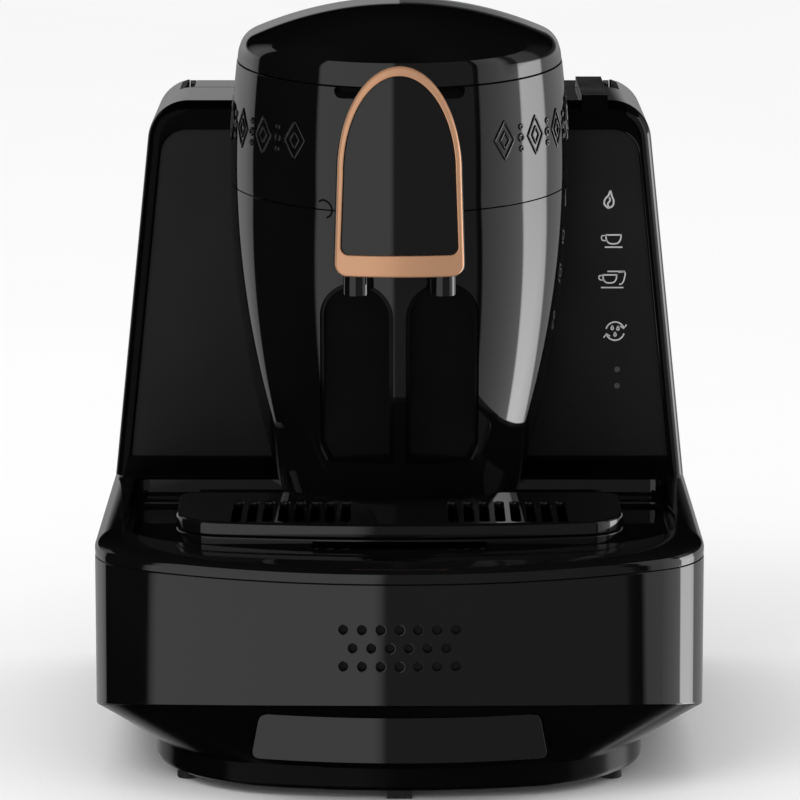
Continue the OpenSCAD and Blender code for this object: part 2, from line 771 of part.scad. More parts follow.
module badge_slab(pts, off0, off1) intersection() {
    prism_y(front_y + 30, tower_yf - 20, pts);
    difference() {
        tower_solid(badge_z - 2, badge_top_z + 2, off1, 5);
        tower_solid(badge_z - 3, badge_top_z + 3, off0, 5);
    }
}

module spout_block() color([0.03, 0.03, 0.03])
    difference() {
        badge_slab(badge_pts(1, 0, badge_top_z - lid_seam_z + 1, 4), seat, spout_d);
        for (s = [-1, 1]) {
            rod_z(s * nozzle_x, nozzle_y, badge_z - 1, coffee_z, spigot_d + 2 * pin_clear);
            rod_y(s * nozzle_x, nozzle_y, tower_yf, coffee_z, tube_d + 2 * seat);
            translate([s * nozzle_x, nozzle_y, coffee_z]) sphere(d = tube_d + 2 * seat);
        }
    }

module badge_frame() color([0.78, 0.5, 0.36])
    difference() {
        badge_slab(badge_pts(0, 0, 0, 4.9), spout_d + 0.15, spout_d + frame_t);
        prism_y(front_y, tower_yf, badge_pts(band_side, band_bottom, band_top, 3.2));
    }

module badge_panel() color([0.07, 0.07, 0.075])
    badge_slab(badge_pts(band_side + 0.1, band_bottom + 0.1, band_top + 0.1, 3.1),
        spout_d + 0.15, spout_d + frame_t - panel_recess);

module nozzle(side) difference() {
    union() {
        rod_z(side * nozzle_x, nozzle_y, nozzle_z, badge_z, nozzle_d);
        rod_z(side * nozzle_x, nozzle_y, badge_z, badge_z + spigot_h, spigot_d);
    }
    rod_z(side * nozzle_x, nozzle_y, nozzle_z - 1, badge_z - 2, nozzle_bore);
    rod_z(side * nozzle_x, nozzle_y, nozzle_z, badge_z + spigot_h + 1, spigot_d - 2);
}

module nozzle_left() color([0.02, 0.02, 0.02]) nozzle(-1);
module nozzle_right() color([0.02, 0.02, 0.02]) nozzle(1);

// ---- lid ----

module dome_lid() color([0.03, 0.03, 0.035])
    difference() {
        union() {
            difference() {
                oblong(lid_pts(0, lid_z));
                oblong(lid_pts(lid_wall, lid_z - 1));
            }
            // Hinge lug
            rod_x(-lug_hw, lug_hw, lid_axis_y, lid_axis_z, 2 * ear_r);
            box(-lug_hw, lug_hw, lid_axis_y - 6, lid_axis_y, lid_z, lid_axis_z + ear_r);
        }
        rod_x(-far, far, lid_axis_y, lid_axis_z, lid_pin_d + 2 * pin_clear);
    }

module lid_liner() color([0.1, 0.1, 0.105]) {
    r = lid_r - lid_wall - seat;
    plate_r = r - 0.1;
    difference() {
        union() {
            oblong([[plate_r, liner_z], [plate_r, liner_z + liner_plate]]);
            on_both_sides() rod_z(pot_x, pot_y, pot_rim_z + 4, liner_z + 1, pot_d + 2);
        }
        // Clear of the hinge lug
        box(-lug_hw - 1, lug_hw + 1, lid_axis_y - 6.3, far, 0, far);
    }
}

module lid_seals() color([0.75, 0.74, 0.7])
    on_both_sides() difference() {
        rod_z(pot_x, pot_y, pot_rim_z + gap, pot_rim_z + 4, pot_d + 4);
        rod_z(pot_x, pot_y, pot_rim_z, pot_rim_z + 5, pot_d - 6);
    }

module lid_pin() color([0.7, 0.7, 0.72])
    rod_x(-lug_hw - gap - ear_w, lug_hw + gap + ear_w, lid_axis_y, lid_axis_z, lid_pin_d);

// ---- rear housing ----

module wing_solid(i, y0, z0 = deck_z) intersection() {
    prism_y(y0, rear_y, wing_pts(i, z0));
    prism_x(base_w, concat([[y0, 0]],
        arc([y0 + wing_edge_r, wing_top_z - i - wing_edge_r], wing_edge_r, 180, 90, 4, 0),
        [[rear_y + 1, wing_top_z - i], [rear_y + 1, 0]]));
}

// Panel outline on one wing, grown by g
module wing_panel(g, y0, y1) difference() {
    intersection() {
        prism_y(y0, y1, wing_pts(border_side - g, deck_z));
        box(50, base_w, y0, y1, panel_z - g, wing_top_z - border_top + g);
    }
    tower_solid(panel_z - 9, wing_top_z, 0.6 - g, 5);
}

module rear_housing() color([0.03, 0.03, 0.035])
    difference() {
        wing_solid(0, wing_front_y);
        wing_solid(wall, wing_front_y + wing_front_t, deck_z - 1);
        tower_solid(deck_z - 1, wing_top_z + 1, seat, 7);
        on_both_sides() wing_panel(0.1, wing_front_y - 1, wing_front_y + pocket_d);
        box(-bay_hw - bay_t - 0.1, bay_hw + bay_t + 0.1, bay_y0 - bay_t - 0.1, far, wing_cz - 9, far);
    }

module left_panel() color([0.09, 0.09, 0.095])
    mirror([1, 0, 0]) wing_panel(0, plate_y, plate_y + panel_t);

LEDS = [143, 136];
led_x = 92;
led_d = 2.4;

module touch_panel() color([0.09, 0.09, 0.095])
    difference() {
        wing_panel(0, plate_y, plate_y + panel_t);
        for (z = LEDS) rod_y(led_x, 0, rear_y, z, led_d + 2 * pin_clear);
    }

module status_leds() color([0.9, 0.9, 0.85])
    for (z = LEDS) rod_y(led_x, plate_y, plate_y + panel_t, z, led_d);

module touch_board() color([0.05, 0.3, 0.15]) {
    y0 = wing_front_y + wing_front_t;
    box(led_x - 16, led_x + 10, y0, y0 + board_t, 124, 226);
    box(led_x - 12, led_x + 2, y0 + board_t, y0 + board_t + 5, 150, 164);
}

module back_cover() color([0.045, 0.045, 0.05]) {
    y0 = rear_wall_y;
    w = bay_hw + bay_t;
    difference() {
        union() {
            prism_y(y0, rear_y, wing_pts(wall + 0.1));
            intersection() {
                box(-w, w, bay_y0 - bay_t, rear_y, deck_z + 0.2, wing_top_z);
                prism_y(bay_y0 - bay_t, rear_y, wing_pts(0.1));
                union() {
                    box(-w, w, bay_y0 - bay_t, rear_y, 0, wing_top_z - wall - 0.1);
                    box(-w, w, bay_y0 - bay_t, rear_y, wing_top_z - 9, wing_top_z);
                }
            }
        }
        box(-bay_hw, bay_hw, bay_y0, far, bay_z0, far);
        rod_z(-valve_x, valve_y, 0, far, valve_d + 4);
    }
}

// ---- water tank ----

module water_tank() color([0.16, 0.17, 0.18]) {
    mid_y = (tank_y0 + tank_y1) / 2;
    x0 = tank_hw - tank_ear;
    difference() {
        union() {
            translate([0, mid_y, tank_z0]) linear_extrude(tank_h)
                polygon(round_rect(2 * tank_hw, tank_d, 5));
            on_both_sides() {
                rod_x(x0, tank_hw, tank_axis_y, tank_axis_z, 2 * tank_axis_r);
                box(x0, tank_hw, tank_axis_y - tank_axis_r, tank_axis_y + tank_axis_r,
                    tank_z1 - 4, tank_axis_z);
            }
        }
        translate([0, mid_y, tank_z0 + tank_wall + 0.4]) linear_extrude(tank_h)
            polygon(round_rect(2 * (tank_hw - tank_wall), tank_d - 2 * tank_wall, 3.4));
        rod_z(-valve_x, valve_y, 0, tank_z0 + 9, valve_d / 2);
        rod_x(-far, far, tank_axis_y, tank_axis_z, 2 * (tank_pin_r + pin_clear));
    }
}

module tank_lid() color([0.04, 0.04, 0.045]) {
    z1 = tank_lid_z + tank_lid_t;
    y0 = tank_y0 + 0.4;
    rim = 2;
    difference() {
        union() {
            box(-tank_lid_hw, tank_lid_hw, y0, tank_axis_y, tank_lid_z, z1);
            rod_x(-tank_lid_hw, tank_lid_hw, tank_axis_y, tank_axis_z, 2 * tank_axis_r);
        }
        box(rim - tank_lid_hw, tank_lid_hw - rim, y0 + rim, tank_axis_y - tank_axis_r - 1,
            tank_lid_z - 1, z1 - 2.4);
    }
    on_both_sides() rod_x(tank_lid_hw - 1, tank_hw - 0.4, tank_axis_y, tank_axis_z, 2 * tank_pin_r);
    // Riser that carries the tongue
    box(tab_x - tab_w / 2, tab_x + tab_w / 2, y0, y0 + 12, z1 - 1, tongue_z);
}

// Tongue from the tank's lid forward over the housing
module lid_tongue() color([0.04, 0.04, 0.045])
    box(tab_x - tab_w / 2, tab_x + tab_w / 2, wing_front_y - 3, tank_y0 + 12.4, tongue_z, tongue_z + tongue_t);

// Finger tab that hangs from the tongue in front of the housing
module lid_tab() color([0.04, 0.04, 0.045])
    box(tab_x - tab_w / 2, tab_x + tab_w / 2, wing_front_y - 3, wing_front_y - gap,
        wing_top_z - tab_drop, tongue_z);

module tank_valve() color([0.85, 0.85, 0.85]) {
    z = tank_z0;
    rod_z(-valve_x, valve_y, z - valve_drop, z, valve_d);
    rod_z(-valve_x, valve_y, z, z + 8, valve_d / 2 - 2 * pin_clear);
    rod_z(-valve_x, valve_y, z + tank_wall + 0.4, z + 5, valve_d);
}

module valve_seat() color([0.8, 0.8, 0.8])
    difference() {
        union() {
            rod_z(-valve_x, valve_y, deck_z, bay_z0, valve_d + 4 - 2 * pin_clear);
            rod_z(-valve_x, valve_y, deck_z - 12, deck_z, hose_d + 1 - 2 * pin_clear);
        }
        rod_z(-valve_x, valve_y, tank_z0 - valve_drop - gap, bay_z0 + 1, valve_d + 2 * gap);
        rod_z(-valve_x, valve_y, 0, far, hose_bore);
    }

// ---- water path ----

// Hose from the valve seat down and round to the pump's inlet
module inlet_hose() color([0.85, 0.86, 0.88]) {
    end_x = -pump_l / 2 - 8;
    difference() {
        union() {
            rod_z(-hose_x, pump_y, pump_z + hose_r, deck_z - 12, hose_d);
            bend([hose_r - hose_x, pump_y, pump_z + hose_r], hose_r, hose_d, 180);
            rod_x(hose_r - hose_x, end_x, pump_y, pump_z, hose_d);
        }
        rod_z(-hose_x, pump_y, pump_z + hose_r, deck_z, hose_bore);
        rod_x(hose_r - hose_x, end_x + 1, pump_y, pump_z, hose_bore);
    }
}

module pump() color([0.25, 0.25, 0.27])
    difference() {
        union() {
            rod_x(-pump_l / 2, pump_l / 2 - 14, pump_y, pump_z, pump_d);
            rod_x(pump_l / 2 - 14, pump_l / 2, pump_y, pump_z, pump_d - 8);
            rod_x(-pump_l / 2 - 8, -pump_l / 2, pump_y, pump_z, hose_d + 2);
            rod_x(pump_l / 2, pump_l / 2 + 8, pump_y, pump_z, hose_d + 2);
        }
        rod_x(-far, -pump_l / 2 + 4, pump_y, pump_z, hose_bore);
        rod_x(pump_l / 2 - 4, far, pump_y, pump_z, hose_bore);
    }

module pump_mount() color([0.1, 0.1, 0.1])
    difference() {
        for (x = [-20, 4]) box(x, x + 8, rear_y - ring_inset - 2.5, rear_wall_y - 1, skirt_rear_z, pump_z);
        rod_x(-far, far, pump_y, pump_z, pump_d + 2 * pin_clear);
    }

// Riser from the pump's outlet up through the tower to the brewing deck
module water_riser() color([0.85, 0.86, 0.88]) {
    x1 = pump_l / 2 + 8 + hose_r;
    run = [riser_x - x1, riser_y - pump_y];
    rod_x(pump_l / 2 + 8, x1, pump_y, pump_z, hose_d);
    translate([x1, pump_y, pump_z]) sphere(d = hose_d);
    rod_z(x1, pump_y, pump_z, riser_turn_z, hose_d);
    translate([x1, pump_y, riser_turn_z]) sphere(d = hose_d);
    translate([x1, pump_y, riser_turn_z]) rotate([0, 90, atan2(run.y, run.x)])
        cylinder(h = norm(run), d = hose_d);
    translate([riser_x, riser_y, riser_turn_z]) sphere(d = hose_d);
    rod_z(riser_x, riser_y, riser_turn_z, splitter_z - arm_d, hose_d);
}

// Splitter under the brewing deck, with an arm into each pot
module water_splitter() color([0.2, 0.2, 0.21]) {
    arm_y = pot_y + sqrt(pow(pot_d / 2 - pot_wall, 2) - pow(riser_x - pot_x, 2));
    rod_z(riser_x, riser_y, splitter_z - arm_d, brew_z, hose_d + 4);
    rod_x(-riser_x, riser_x, riser_y, splitter_z, arm_d);
    translate([-riser_x, riser_y, splitter_z]) sphere(d = arm_d);
    on_both_sides() rod_y(riser_x, arm_y, riser_y, splitter_z, arm_d);
}

// ---- electrics ----

module control_board() color([0.05, 0.3, 0.15])
    difference() {
        union() {
            box(-board_w / 2, board_w / 2, board_y - board_d / 2, board_y + board_d / 2,
                board_z, board_z + board_t);
            for (sx = [-1, 1], sy = [-1, 1])
                rod_z(sx * (board_w / 2 - 6), board_y + sy * (board_d / 2 - 6), pan_top_z, board_z, 7);
        }
        for (sx = [-1, 1], sy = [-1, 1])
            rod_z(sx * (board_w / 2 - 6), board_y + sy * (board_d / 2 - 6), pan_top_z - 1, far, 2.5);
    }

module relays() color([0.15, 0.25, 0.5])
    for (i = [0:2]) box(-44 + 18 * i, -30 + 18 * i, board_y - 10, board_y + 9,
        board_z + board_t, board_z + board_t + 15);

module transformer() color([0.85, 0.75, 0.2]) {
    z = board_z + board_t;
    box(16, 48, board_y - 12, board_y + 16, z, z + 5);
    box(20, 44, board_y - 8, board_y + 12, z + 5, z + 24);
}

module speaker() color([0.12, 0.12, 0.12]) {
    y0 = front_y + wall + 1.3;
    rod_y(0, y0, y0 + 3, sound_z, speaker_d);
    rod_y(0, y0 + 3, y0 + 9, sound_z, speaker_d - 12);
    // Bracket up to the deck's rim
    box(-8, 8, y0 + 3, y0 + 6, sound_z, shell_top_z);
}

module switch_frame() color([0.02, 0.02, 0.02])
    difference() {
        union() {
            box(-switch_x - switch_w / 2 - 2, switch_w / 2 + 2 - switch_x, rear_y - 0.8, rear_y,
                switch_z - switch_h / 2 - 2, switch_z + switch_h / 2 + 2);
            box(-switch_x - switch_w / 2 + seat, switch_w / 2 - switch_x - seat, rear_y - 16, rear_y,
                switch_z - switch_h / 2 + seat, switch_z + switch_h / 2 - seat);
        }
        box(-switch_x - switch_w / 2 + 2, switch_w / 2 - switch_x - 2, rear_y - 12, rear_y + 1,
            switch_z - switch_h / 2 + 2, switch_z + switch_h / 2 - 2);
        rod_x(-switch_x - switch_w / 2 + 0.5, switch_w / 2 - switch_x - 0.5, rocker_y, switch_z,
            3 + 2 * pin_clear);
    }

module power_rocker() color([0.03, 0.03, 0.03]) {
    w = switch_w - 4 - 2 * gap;
    r = switch_h / 2 - 2 - gap;
    intersection() {
        rod_x(-switch_x - w / 2, w / 2 - switch_x, rocker_y, switch_z, 2 * r);
        // Two faces: the lower one stands out, the upper one lies in
        translate([-switch_x, rocker_y, switch_z]) prism_x(w / 2, [
            [-0.7 * r, -far], [far, -far], [far, -0.3 * r], [0.62 * r, 0], [0.68 * r, far], [-0.7 * r, far]]);
    }
    rod_x(-switch_x - switch_w / 2 + 0.7, switch_w / 2 - switch_x - 0.7, rocker_y, switch_z, 3);
}

module cord_gland() color([0.02, 0.02, 0.02])
    difference() {
        union() {
            rod_y(switch_x, rear_wall_y - 4, rear_y, gland_z, gland_d - 2 * pin_clear);
            rod_y(switch_x, rear_wall_y - 4, rear_wall_y, gland_z, gland_d + 5);
        }
        rod_y(switch_x, rear_wall_y - 5, rear_y + 1, gland_z, 7);
    }

bottom_pan();
rubber_feet();
front_foot();
base_shell();
side_shells();
back_shell();
deck();
case_screws();
drip_tray();
cup_grille();
tower_lower();
alcove_liner();
tower_upper();
brew_deck();
pot_left();
pot_right();
pot_heater_left();
pot_heater_right();
temp_sensor_left();
temp_sensor_right();
coffee_tube_left();
coffee_tube_right();
spout_block();
badge_frame();
badge_panel();
nozzle_left();
nozzle_right();
dome_lid();
lid_liner();
lid_seals();
lid_pin();
rear_housing();
left_panel();
touch_panel();
status_leds();
touch_board();
back_cover();
water_tank();
tank_lid();
lid_tongue();
lid_tab();
tank_valve();
valve_seat();
inlet_hose();
pump();
pump_mount();
water_riser();
water_splitter();
control_board();
relays();
transformer();
speaker();
switch_frame();
power_rocker();
cord_gland();
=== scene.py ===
"""Looks of an electric turkish coffee maker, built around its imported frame."""
import json
import math
import bmesh
import bpy
import numpy as np
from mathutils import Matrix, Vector

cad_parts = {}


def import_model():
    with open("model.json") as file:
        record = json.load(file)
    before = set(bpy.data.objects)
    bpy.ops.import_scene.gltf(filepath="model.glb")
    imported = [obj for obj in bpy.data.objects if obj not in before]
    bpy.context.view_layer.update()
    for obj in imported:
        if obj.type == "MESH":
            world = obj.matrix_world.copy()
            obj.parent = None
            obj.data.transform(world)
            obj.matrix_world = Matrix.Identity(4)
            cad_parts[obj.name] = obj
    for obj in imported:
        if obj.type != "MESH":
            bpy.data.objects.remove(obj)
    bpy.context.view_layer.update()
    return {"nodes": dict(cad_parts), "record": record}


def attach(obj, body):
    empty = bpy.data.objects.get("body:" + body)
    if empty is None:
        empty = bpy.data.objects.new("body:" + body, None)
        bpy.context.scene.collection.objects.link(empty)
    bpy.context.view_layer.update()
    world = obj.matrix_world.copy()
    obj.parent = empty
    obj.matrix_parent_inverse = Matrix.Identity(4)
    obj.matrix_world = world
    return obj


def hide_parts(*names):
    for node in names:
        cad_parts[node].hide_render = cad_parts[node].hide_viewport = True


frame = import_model()
NODES = frame["nodes"]
MM = 0.001

# Sizes of the machine in millimetres
FRONT_Y, REAR_Y, BASE_HW = -135.0, 135.0, 121.5
FRONT_R, CORNER_R, REAR_R, WALL = 205.0, 38.0, 12.0, 2.6
SKIRT_FRONT_Z, SKIRT_REAR_Z, SKIRT_TAN = 41.5, 9.0, math.tan(math.radians(12.4))
SIDE_SEAM_Y, BACK_SEAM_Y = -62.6, 123.0
HOLE_ROWS, HOLE_PITCH, HOLE_Z, HOLE_R = ((-1, 7), (0, 6), (1, 7)), 7.3, 64.8, 1.7
CLOTH_HW, CLOTH_Z0, CLOTH_Z1, CLOTH_T = 30.0, 54.0, 76.0, 0.5
GLAND_X, GLAND_Z, GLAND_R = 78.0, 32.0, 8.0
SWITCH_X, SWITCH_Z, FLANGE_HW, FLANGE_HH, SWITCH_HW, SWITCH_HH = -78.0, 52.0, 12.7, 9.7, 10.5, 7.5
SHELL_Z, DECK_Z, DECK_FRONT_Z, RIM_D = 90.0, 97.5, 92.5, 20.0
WELL_HW, WELL_Y0, WELL_Y1, WELL_Z = 112.0, -111.0, 47.0, 84.5
WELL_FRONT_R, WELL_CORNER_R, WELL_REAR_R, WELL_EDGE_R, WELL_FLOOR_R = 190.0, 44.0, 6.0, 1.6, 2.0
RING_INSET, RING_FRONT, RING_Z, PAN_Z = 23.0, 15.0, 13.0, 3.6
RING_FRONT_R, RING_CORNER_R = 220.0, 60.0
RIM_EDGE, RIM_FALL = 7.4, 1.5
DIP_HW, DIP_SLOPE, DIP_DEPTH, DIP_Y, DIP_FADE = 13.5, 3.5, 2.4, -124.0, 8.0
FACET_IN, FACET_Z0, FACET_Z1, FACET_HW, FACET_TOP_HW = 2.4, 18.4, 36.5, 58.3, 54.9
TRAY_HW, TRAY_Y0, TRAY_Y1, TRAY_TOP = 89.0, -101.0, -35.0, 101.0
TRAY_FRONT_R, TRAY_CORNER_R, TRAY_REAR_R, TRAY_WALL = 420.0, 20.0, 6.0, 2.2
GRIP_HW, GRIP_Z0, GRIP_Z1 = 34.5, 96.8, 100.0
GRILLE_Z0, GRILLE_Z1, CUT_Y, CUT_R = 101.3, 107.0, 12.0, 62.03
SLOT_X, SLOT_PITCH, SLOT_COUNT, SLOT_R, SLOT_Y0, SLOT_Y1 = 43.0, 6.2, 8, 1.6, -93.4, -56.6
AXIS_F, AXIS_R, BELLY_Z, BELLY_R, TOWER_R = 12.0, 28.0, 230.0, 420.0, 69.5
MID_Z, SEAM_Z, TOP_Z = 228.0, 279.0, 302.0
LID_Z, SHOULDER_Z, SHOULDER_R = 279.3, 280.4, 10.0
LID_AXIS_Y, LID_AXIS_Z, EAR_R, LUG_HW = 96.432, 280.5, 3.4, 14.5
ALCOVE_X, ALCOVE_HW, ALCOVE_Z0, ALCOVE_Z1, ALCOVE_BACK = 17.25, 14.75, 120.0, 196.0, -34.0
SCOOP_X0, SCOOP_X1, SCOOP_H = 14.0, 26.5, 4.3
BADGE_Z0, BADGE_Z1, BADGE_HW, BADGE_TAPER, ARCH_RISE, BADGE_MID_Z = 200.2, 283.8, 25.7, 1.1, 42.0, 232.0
SPOUT_OFF, FRAME_OFF, PANEL_OFF, FRAME_R, FRAME_IN_R = 9.5, 13.0, 11.8, 4.9, 3.2
NOZZLE_X, NOZZLE_Y, NOZZLE_Z, NOZZLE_R = 17.3, -60.35, 192.0, 5.2
TUBE_Z, TUBE_R, PIN_R = 235.0, 3.7, 1.35
WING_Y, WING_TOP, WING_R, WING_W0, WING_W1 = 48.0, 257.0, 17.0, 241.0, 208.0
PANEL_Y, PRINT_T, BORDER_SIDE, BORDER_TOP, PANEL_Z = 49.4, 0.1, 6.0, 12.0, 106.0
BAY_HW, BAY_Y, BAY_Z, LIP_HW, LIP_Y0, LIP_Y1 = 94.3, 100.7, 231.0, 91.4, 132.6, 134.5
LOZENGE_H, LOZENGE_W, LOZENGE_S, LOZENGE_STEP, LOZENGE_Z = 7.6, 5.0, 45.5, 18.2, 254.2
FLOOR_HW, FLOOR_Z = 4000.0, -0.2
CAMERA_PLACE, CAMERA_TILT = (0.0002, -1.9463, 0.4871), 0.17714
SENSOR, PICTURE, PIXELS = 36, 800, 4789.7
LID_LEAN = math.degrees(math.asin((SHOULDER_Z - BELLY_Z) / BELLY_R))
FOOT_TOP = SHOULDER_Z + SHOULDER_R * math.sin(math.radians(LID_LEAN))
WING_LEAN = math.atan((WING_W0 - WING_W1) / 2 / (WING_TOP - DECK_Z))
# How many steps an outline takes along its bowed front, its front corners and its rear corners
FRONT_N, CORNER_N, REAR_N = 96, 28, 10


# ---- outlines ----

def arc(cx, cy, r, a0, a1, n, first=0):
    """Points on an arc, angles in degrees."""
    a = np.radians(np.linspace(a0, a1, n + 1))[first:]
    return np.c_[cx + r * np.cos(a), cy + r * np.sin(a)]


def tub(hw, y0, y1, r, rc, rr):
    """Bowed front, round front corners, straight sides, round rear corners."""
    c = y0 + r
    cx = hw - rc
    cy = c - math.sqrt((r - rc) ** 2 - cx * cx)
    t = math.degrees(math.atan2(cy - c, cx))
    return np.vstack([
        arc(0, c, r, 180 - t, 360 + t, FRONT_N, 1), arc(cx, cy, rc, t, 0, CORNER_N, 1),
        arc(hw - rr, y1 - rr, rr, 0, 90, REAR_N), arc(rr - hw, y1 - rr, rr, 90, 180, REAR_N),
        arc(-cx, cy, rc, 180, 180 - t, CORNER_N)[:-1], arc(0, c, r, 180 - t, 180 - t, 1)[:1]])


def base_line(i):
    """The base's plan, inset by i."""
    return tub(BASE_HW - i, FRONT_Y + i, REAR_Y - i, FRONT_R - i, CORNER_R - i, max(REAR_R - i, 1))


def rim_line(i, back):
    """The base's plan with its front moved back."""
    return tub(BASE_HW - i, FRONT_Y + back, REAR_Y - i, FRONT_R, CORNER_R, REAR_R)


def ring_line(i):
    """The foot of the sloping bottom pan."""
    return tub(BASE_HW - RING_INSET - i, FRONT_Y + RING_FRONT + i, REAR_Y - RING_INSET - i,
               RING_FRONT_R - i, RING_CORNER_R - i, REAR_R - i)


def well_line(i):
    """The well's plan, inset by i."""
    return tub(WELL_HW - i, WELL_Y0 + i, WELL_Y1 - i, WELL_FRONT_R - i, WELL_CORNER_R - i,
               max(WELL_REAR_R - i, 1))


def tray_line(i):
    """The tray's plan: a tub whose rear edge is cut round the tower."""
    pts = tub(TRAY_HW - i, TRAY_Y0 + i, TRAY_Y1 - i, TRAY_FRONT_R - i, TRAY_CORNER_R - i,
              TRAY_REAR_R - i / 2)
    r = CUT_R + i
    y1 = TRAY_Y1 - i
    half = math.degrees(math.asin(math.sqrt(r * r - (CUT_Y - y1) ** 2) / r))
    k = len(pts) - 1 - CORNER_N - (REAR_N + 1)
    return np.vstack([pts[:k], arc(0, CUT_Y, r, 270 + half, 270 - half, 48), pts[k:]])


def tower_r(z):
    """The barrel's radius at a height."""
    z = np.asarray(z, float)
    return TOWER_R - BELLY_R + np.sqrt(BELLY_R ** 2 - (z - BELLY_Z) ** 2)


def oblong(r, n=72):
    """Two half rounds of radius r, a short way apart."""
    return np.vstack([arc(0, AXIS_R, r, 0, 180, n), arc(0, AXIS_F, r, 180, 360, n)])


def barrel_y(x, z, off):
    """Depth of the barrel's front at x and z, moved out by off."""
    return AXIS_F - np.sqrt((tower_r(z) + off) ** 2 - np.asarray(x) ** 2)


def arch(side, bottom, top, rb):
    """The badge's outline: x and z."""
    hw, z0, z1 = BADGE_HW - side, BADGE_Z0 + bottom, BADGE_Z1 - top
    zs = BADGE_Z1 - ARCH_RISE
    a = np.radians(np.linspace(0, 180, 73))
    corner = arc(hw - rb, z0 + rb, rb, -90, 0, 10)
    crown = np.c_[(hw - BADGE_TAPER) * np.cos(a), zs + (z1 - zs) * np.sin(a)]
    upright = np.linspace(corner[-1], crown[0], 15)[1:-1]
    foot = np.linspace([rb - hw, z0], [hw - rb, z0], 27)[1:-1]
    return np.vstack([corner, upright, crown, upright[::-1] * [-1, 1], corner[::-1] * [-1, 1], foot])


def wing_x(z):
    """Half width of the rear housing at a height."""
    return WING_W0 / 2 - (z - DECK_Z) * math.tan(WING_LEAN)


def wing_line(side, top, bottom):
    """Front view of the rear housing, inset by side, top and bottom."""
    lean = math.degrees(WING_LEAN)
    r = max(WING_R - side, 3)
    cz = WING_TOP - top - r
    cx = wing_x(cz) - side / math.cos(WING_LEAN) - r / math.cos(WING_LEAN)
    z0 = DECK_Z + bottom
    x0 = wing_x(z0) - side / math.cos(WING_LEAN)
    right = arc(cx, cz, r, lean, 90, 20)
    foot = np.linspace([x0, z0], right[0], 12)[:-1]
    half = np.vstack([foot, right])
    return np.vstack([half, half[::-1] * [-1, 1]])


def at_x(line, x):
    """A side outline of y and z set at an x."""
    return np.c_[np.broadcast_to(x, len(line)), line]


def at_z(line, z):
    """A plan outline set at a height."""
    return np.c_[line, np.broadcast_to(z, len(line))]


def at_y(line, y):
    """A front outline of x and z set at a depth."""
    return np.c_[line[:, 0], np.broadcast_to(y, len(line)), line[:, 1]]


# ---- mesh building ----

def put(name, data):
    """A new object in the scene."""
    piece = bpy.data.objects.new(name, data)
    bpy.context.scene.collection.objects.link(piece)
    return piece


def new_piece(name, verts, faces):
    """An object from corners in millimetres."""
    mesh = bpy.data.meshes.new(name)
    mesh.from_pydata([tuple(v) for v in np.asarray(verts, float) * MM], [], faces)
    bm = bmesh.new()
    bm.from_mesh(mesh)
    bmesh.ops.remove_doubles(bm, verts=bm.verts, dist=1e-7)
    bmesh.ops.recalc_face_normals(bm, faces=bm.faces)
    bm.to_mesh(mesh)
    bm.free()
    return put(name, mesh)


def loft(name, rings, wrap=False, cap0=False, cap1=False):
    """Skin closed rings of equal length."""
    n, m = len(rings[0]), len(rings)
    faces = []
    for i in range(m if wrap else m - 1):
        a, b = i * n, (i + 1) % m * n
        faces += [(a + j, a + (j + 1) % n, b + (j + 1) % n, b + j) for j in range(n)]
    if cap0:
        faces.append(tuple(range(n)))
    if cap1:
        faces.append(tuple((m - 1) * n + j for j in range(n)))
    return new_piece(name, np.vstack(rings), faces)


def solid(name, rings):
    """Skin closed rings and cap both ends."""
    return loft(name, rings, cap0=True, cap1=True)


def join(name, pieces):
    """One piece from several."""
    verts, faces, start = [], [], 0
    for p in pieces:
        verts += [p.matrix_world @ v.co / MM for v in p.data.vertices]
        faces += [tuple(start + i for i in f.vertices) for f in p.data.polygons]
        start = len(verts)
        bpy.data.objects.remove(p)
    return new_piece(name, verts, faces)


def bake(piece):
    """Apply the modifiers to the mesh."""
    graph = bpy.context.evaluated_depsgraph_get()
    mesh = bpy.data.meshes.new_from_object(piece.evaluated_get(graph))
    piece.modifiers.clear()
    piece.data = mesh
    return piece


def cut(piece, cutter, operation="DIFFERENCE"):
    """Cut one piece with another, and delete the cutter."""
    mod = piece.modifiers.new("cut", "BOOLEAN")
    mod.operation, mod.object, mod.solver = operation, cutter, "EXACT"
    bake(piece)
    bpy.data.objects.remove(cutter)
    return piece


def shade(piece, angle=32):
    """Smooth the curves and keep the flats flat."""
    piece.data.shade_smooth()
    piece.data.set_sharp_from_angle(angle=math.radians(angle))
    mod = piece.modifiers.new("flats", "WEIGHTED_NORMAL")
    mod.weight, mod.keep_sharp = 100, True
    return bake(piece)


def smooth_as(piece, surface, limit=0.96):
    """Give the corners that lie on a known surface its exact normal."""
    mesh = piece.data
    co = np.zeros(len(mesh.vertices) * 3)
    mesh.vertices.foreach_get("co", co)
    normal, on = surface(co.reshape(-1, 3) / MM)
    corner = np.zeros(len(mesh.loops) * 3, np.float32)
    mesh.corner_normals.foreach_get("vector", corner)
    corner = corner.reshape(-1, 3)
    for face in mesh.polygons:
        ids = list(face.vertices)
        facing = np.dot(normal[ids].mean(0), face.normal)
        if all(on[ids]) and abs(facing) > limit:
            corner[list(face.loop_indices)] = normal[ids] * np.sign(facing)
    mesh.normals_split_custom_set([tuple(c) for c in corner])
    return piece


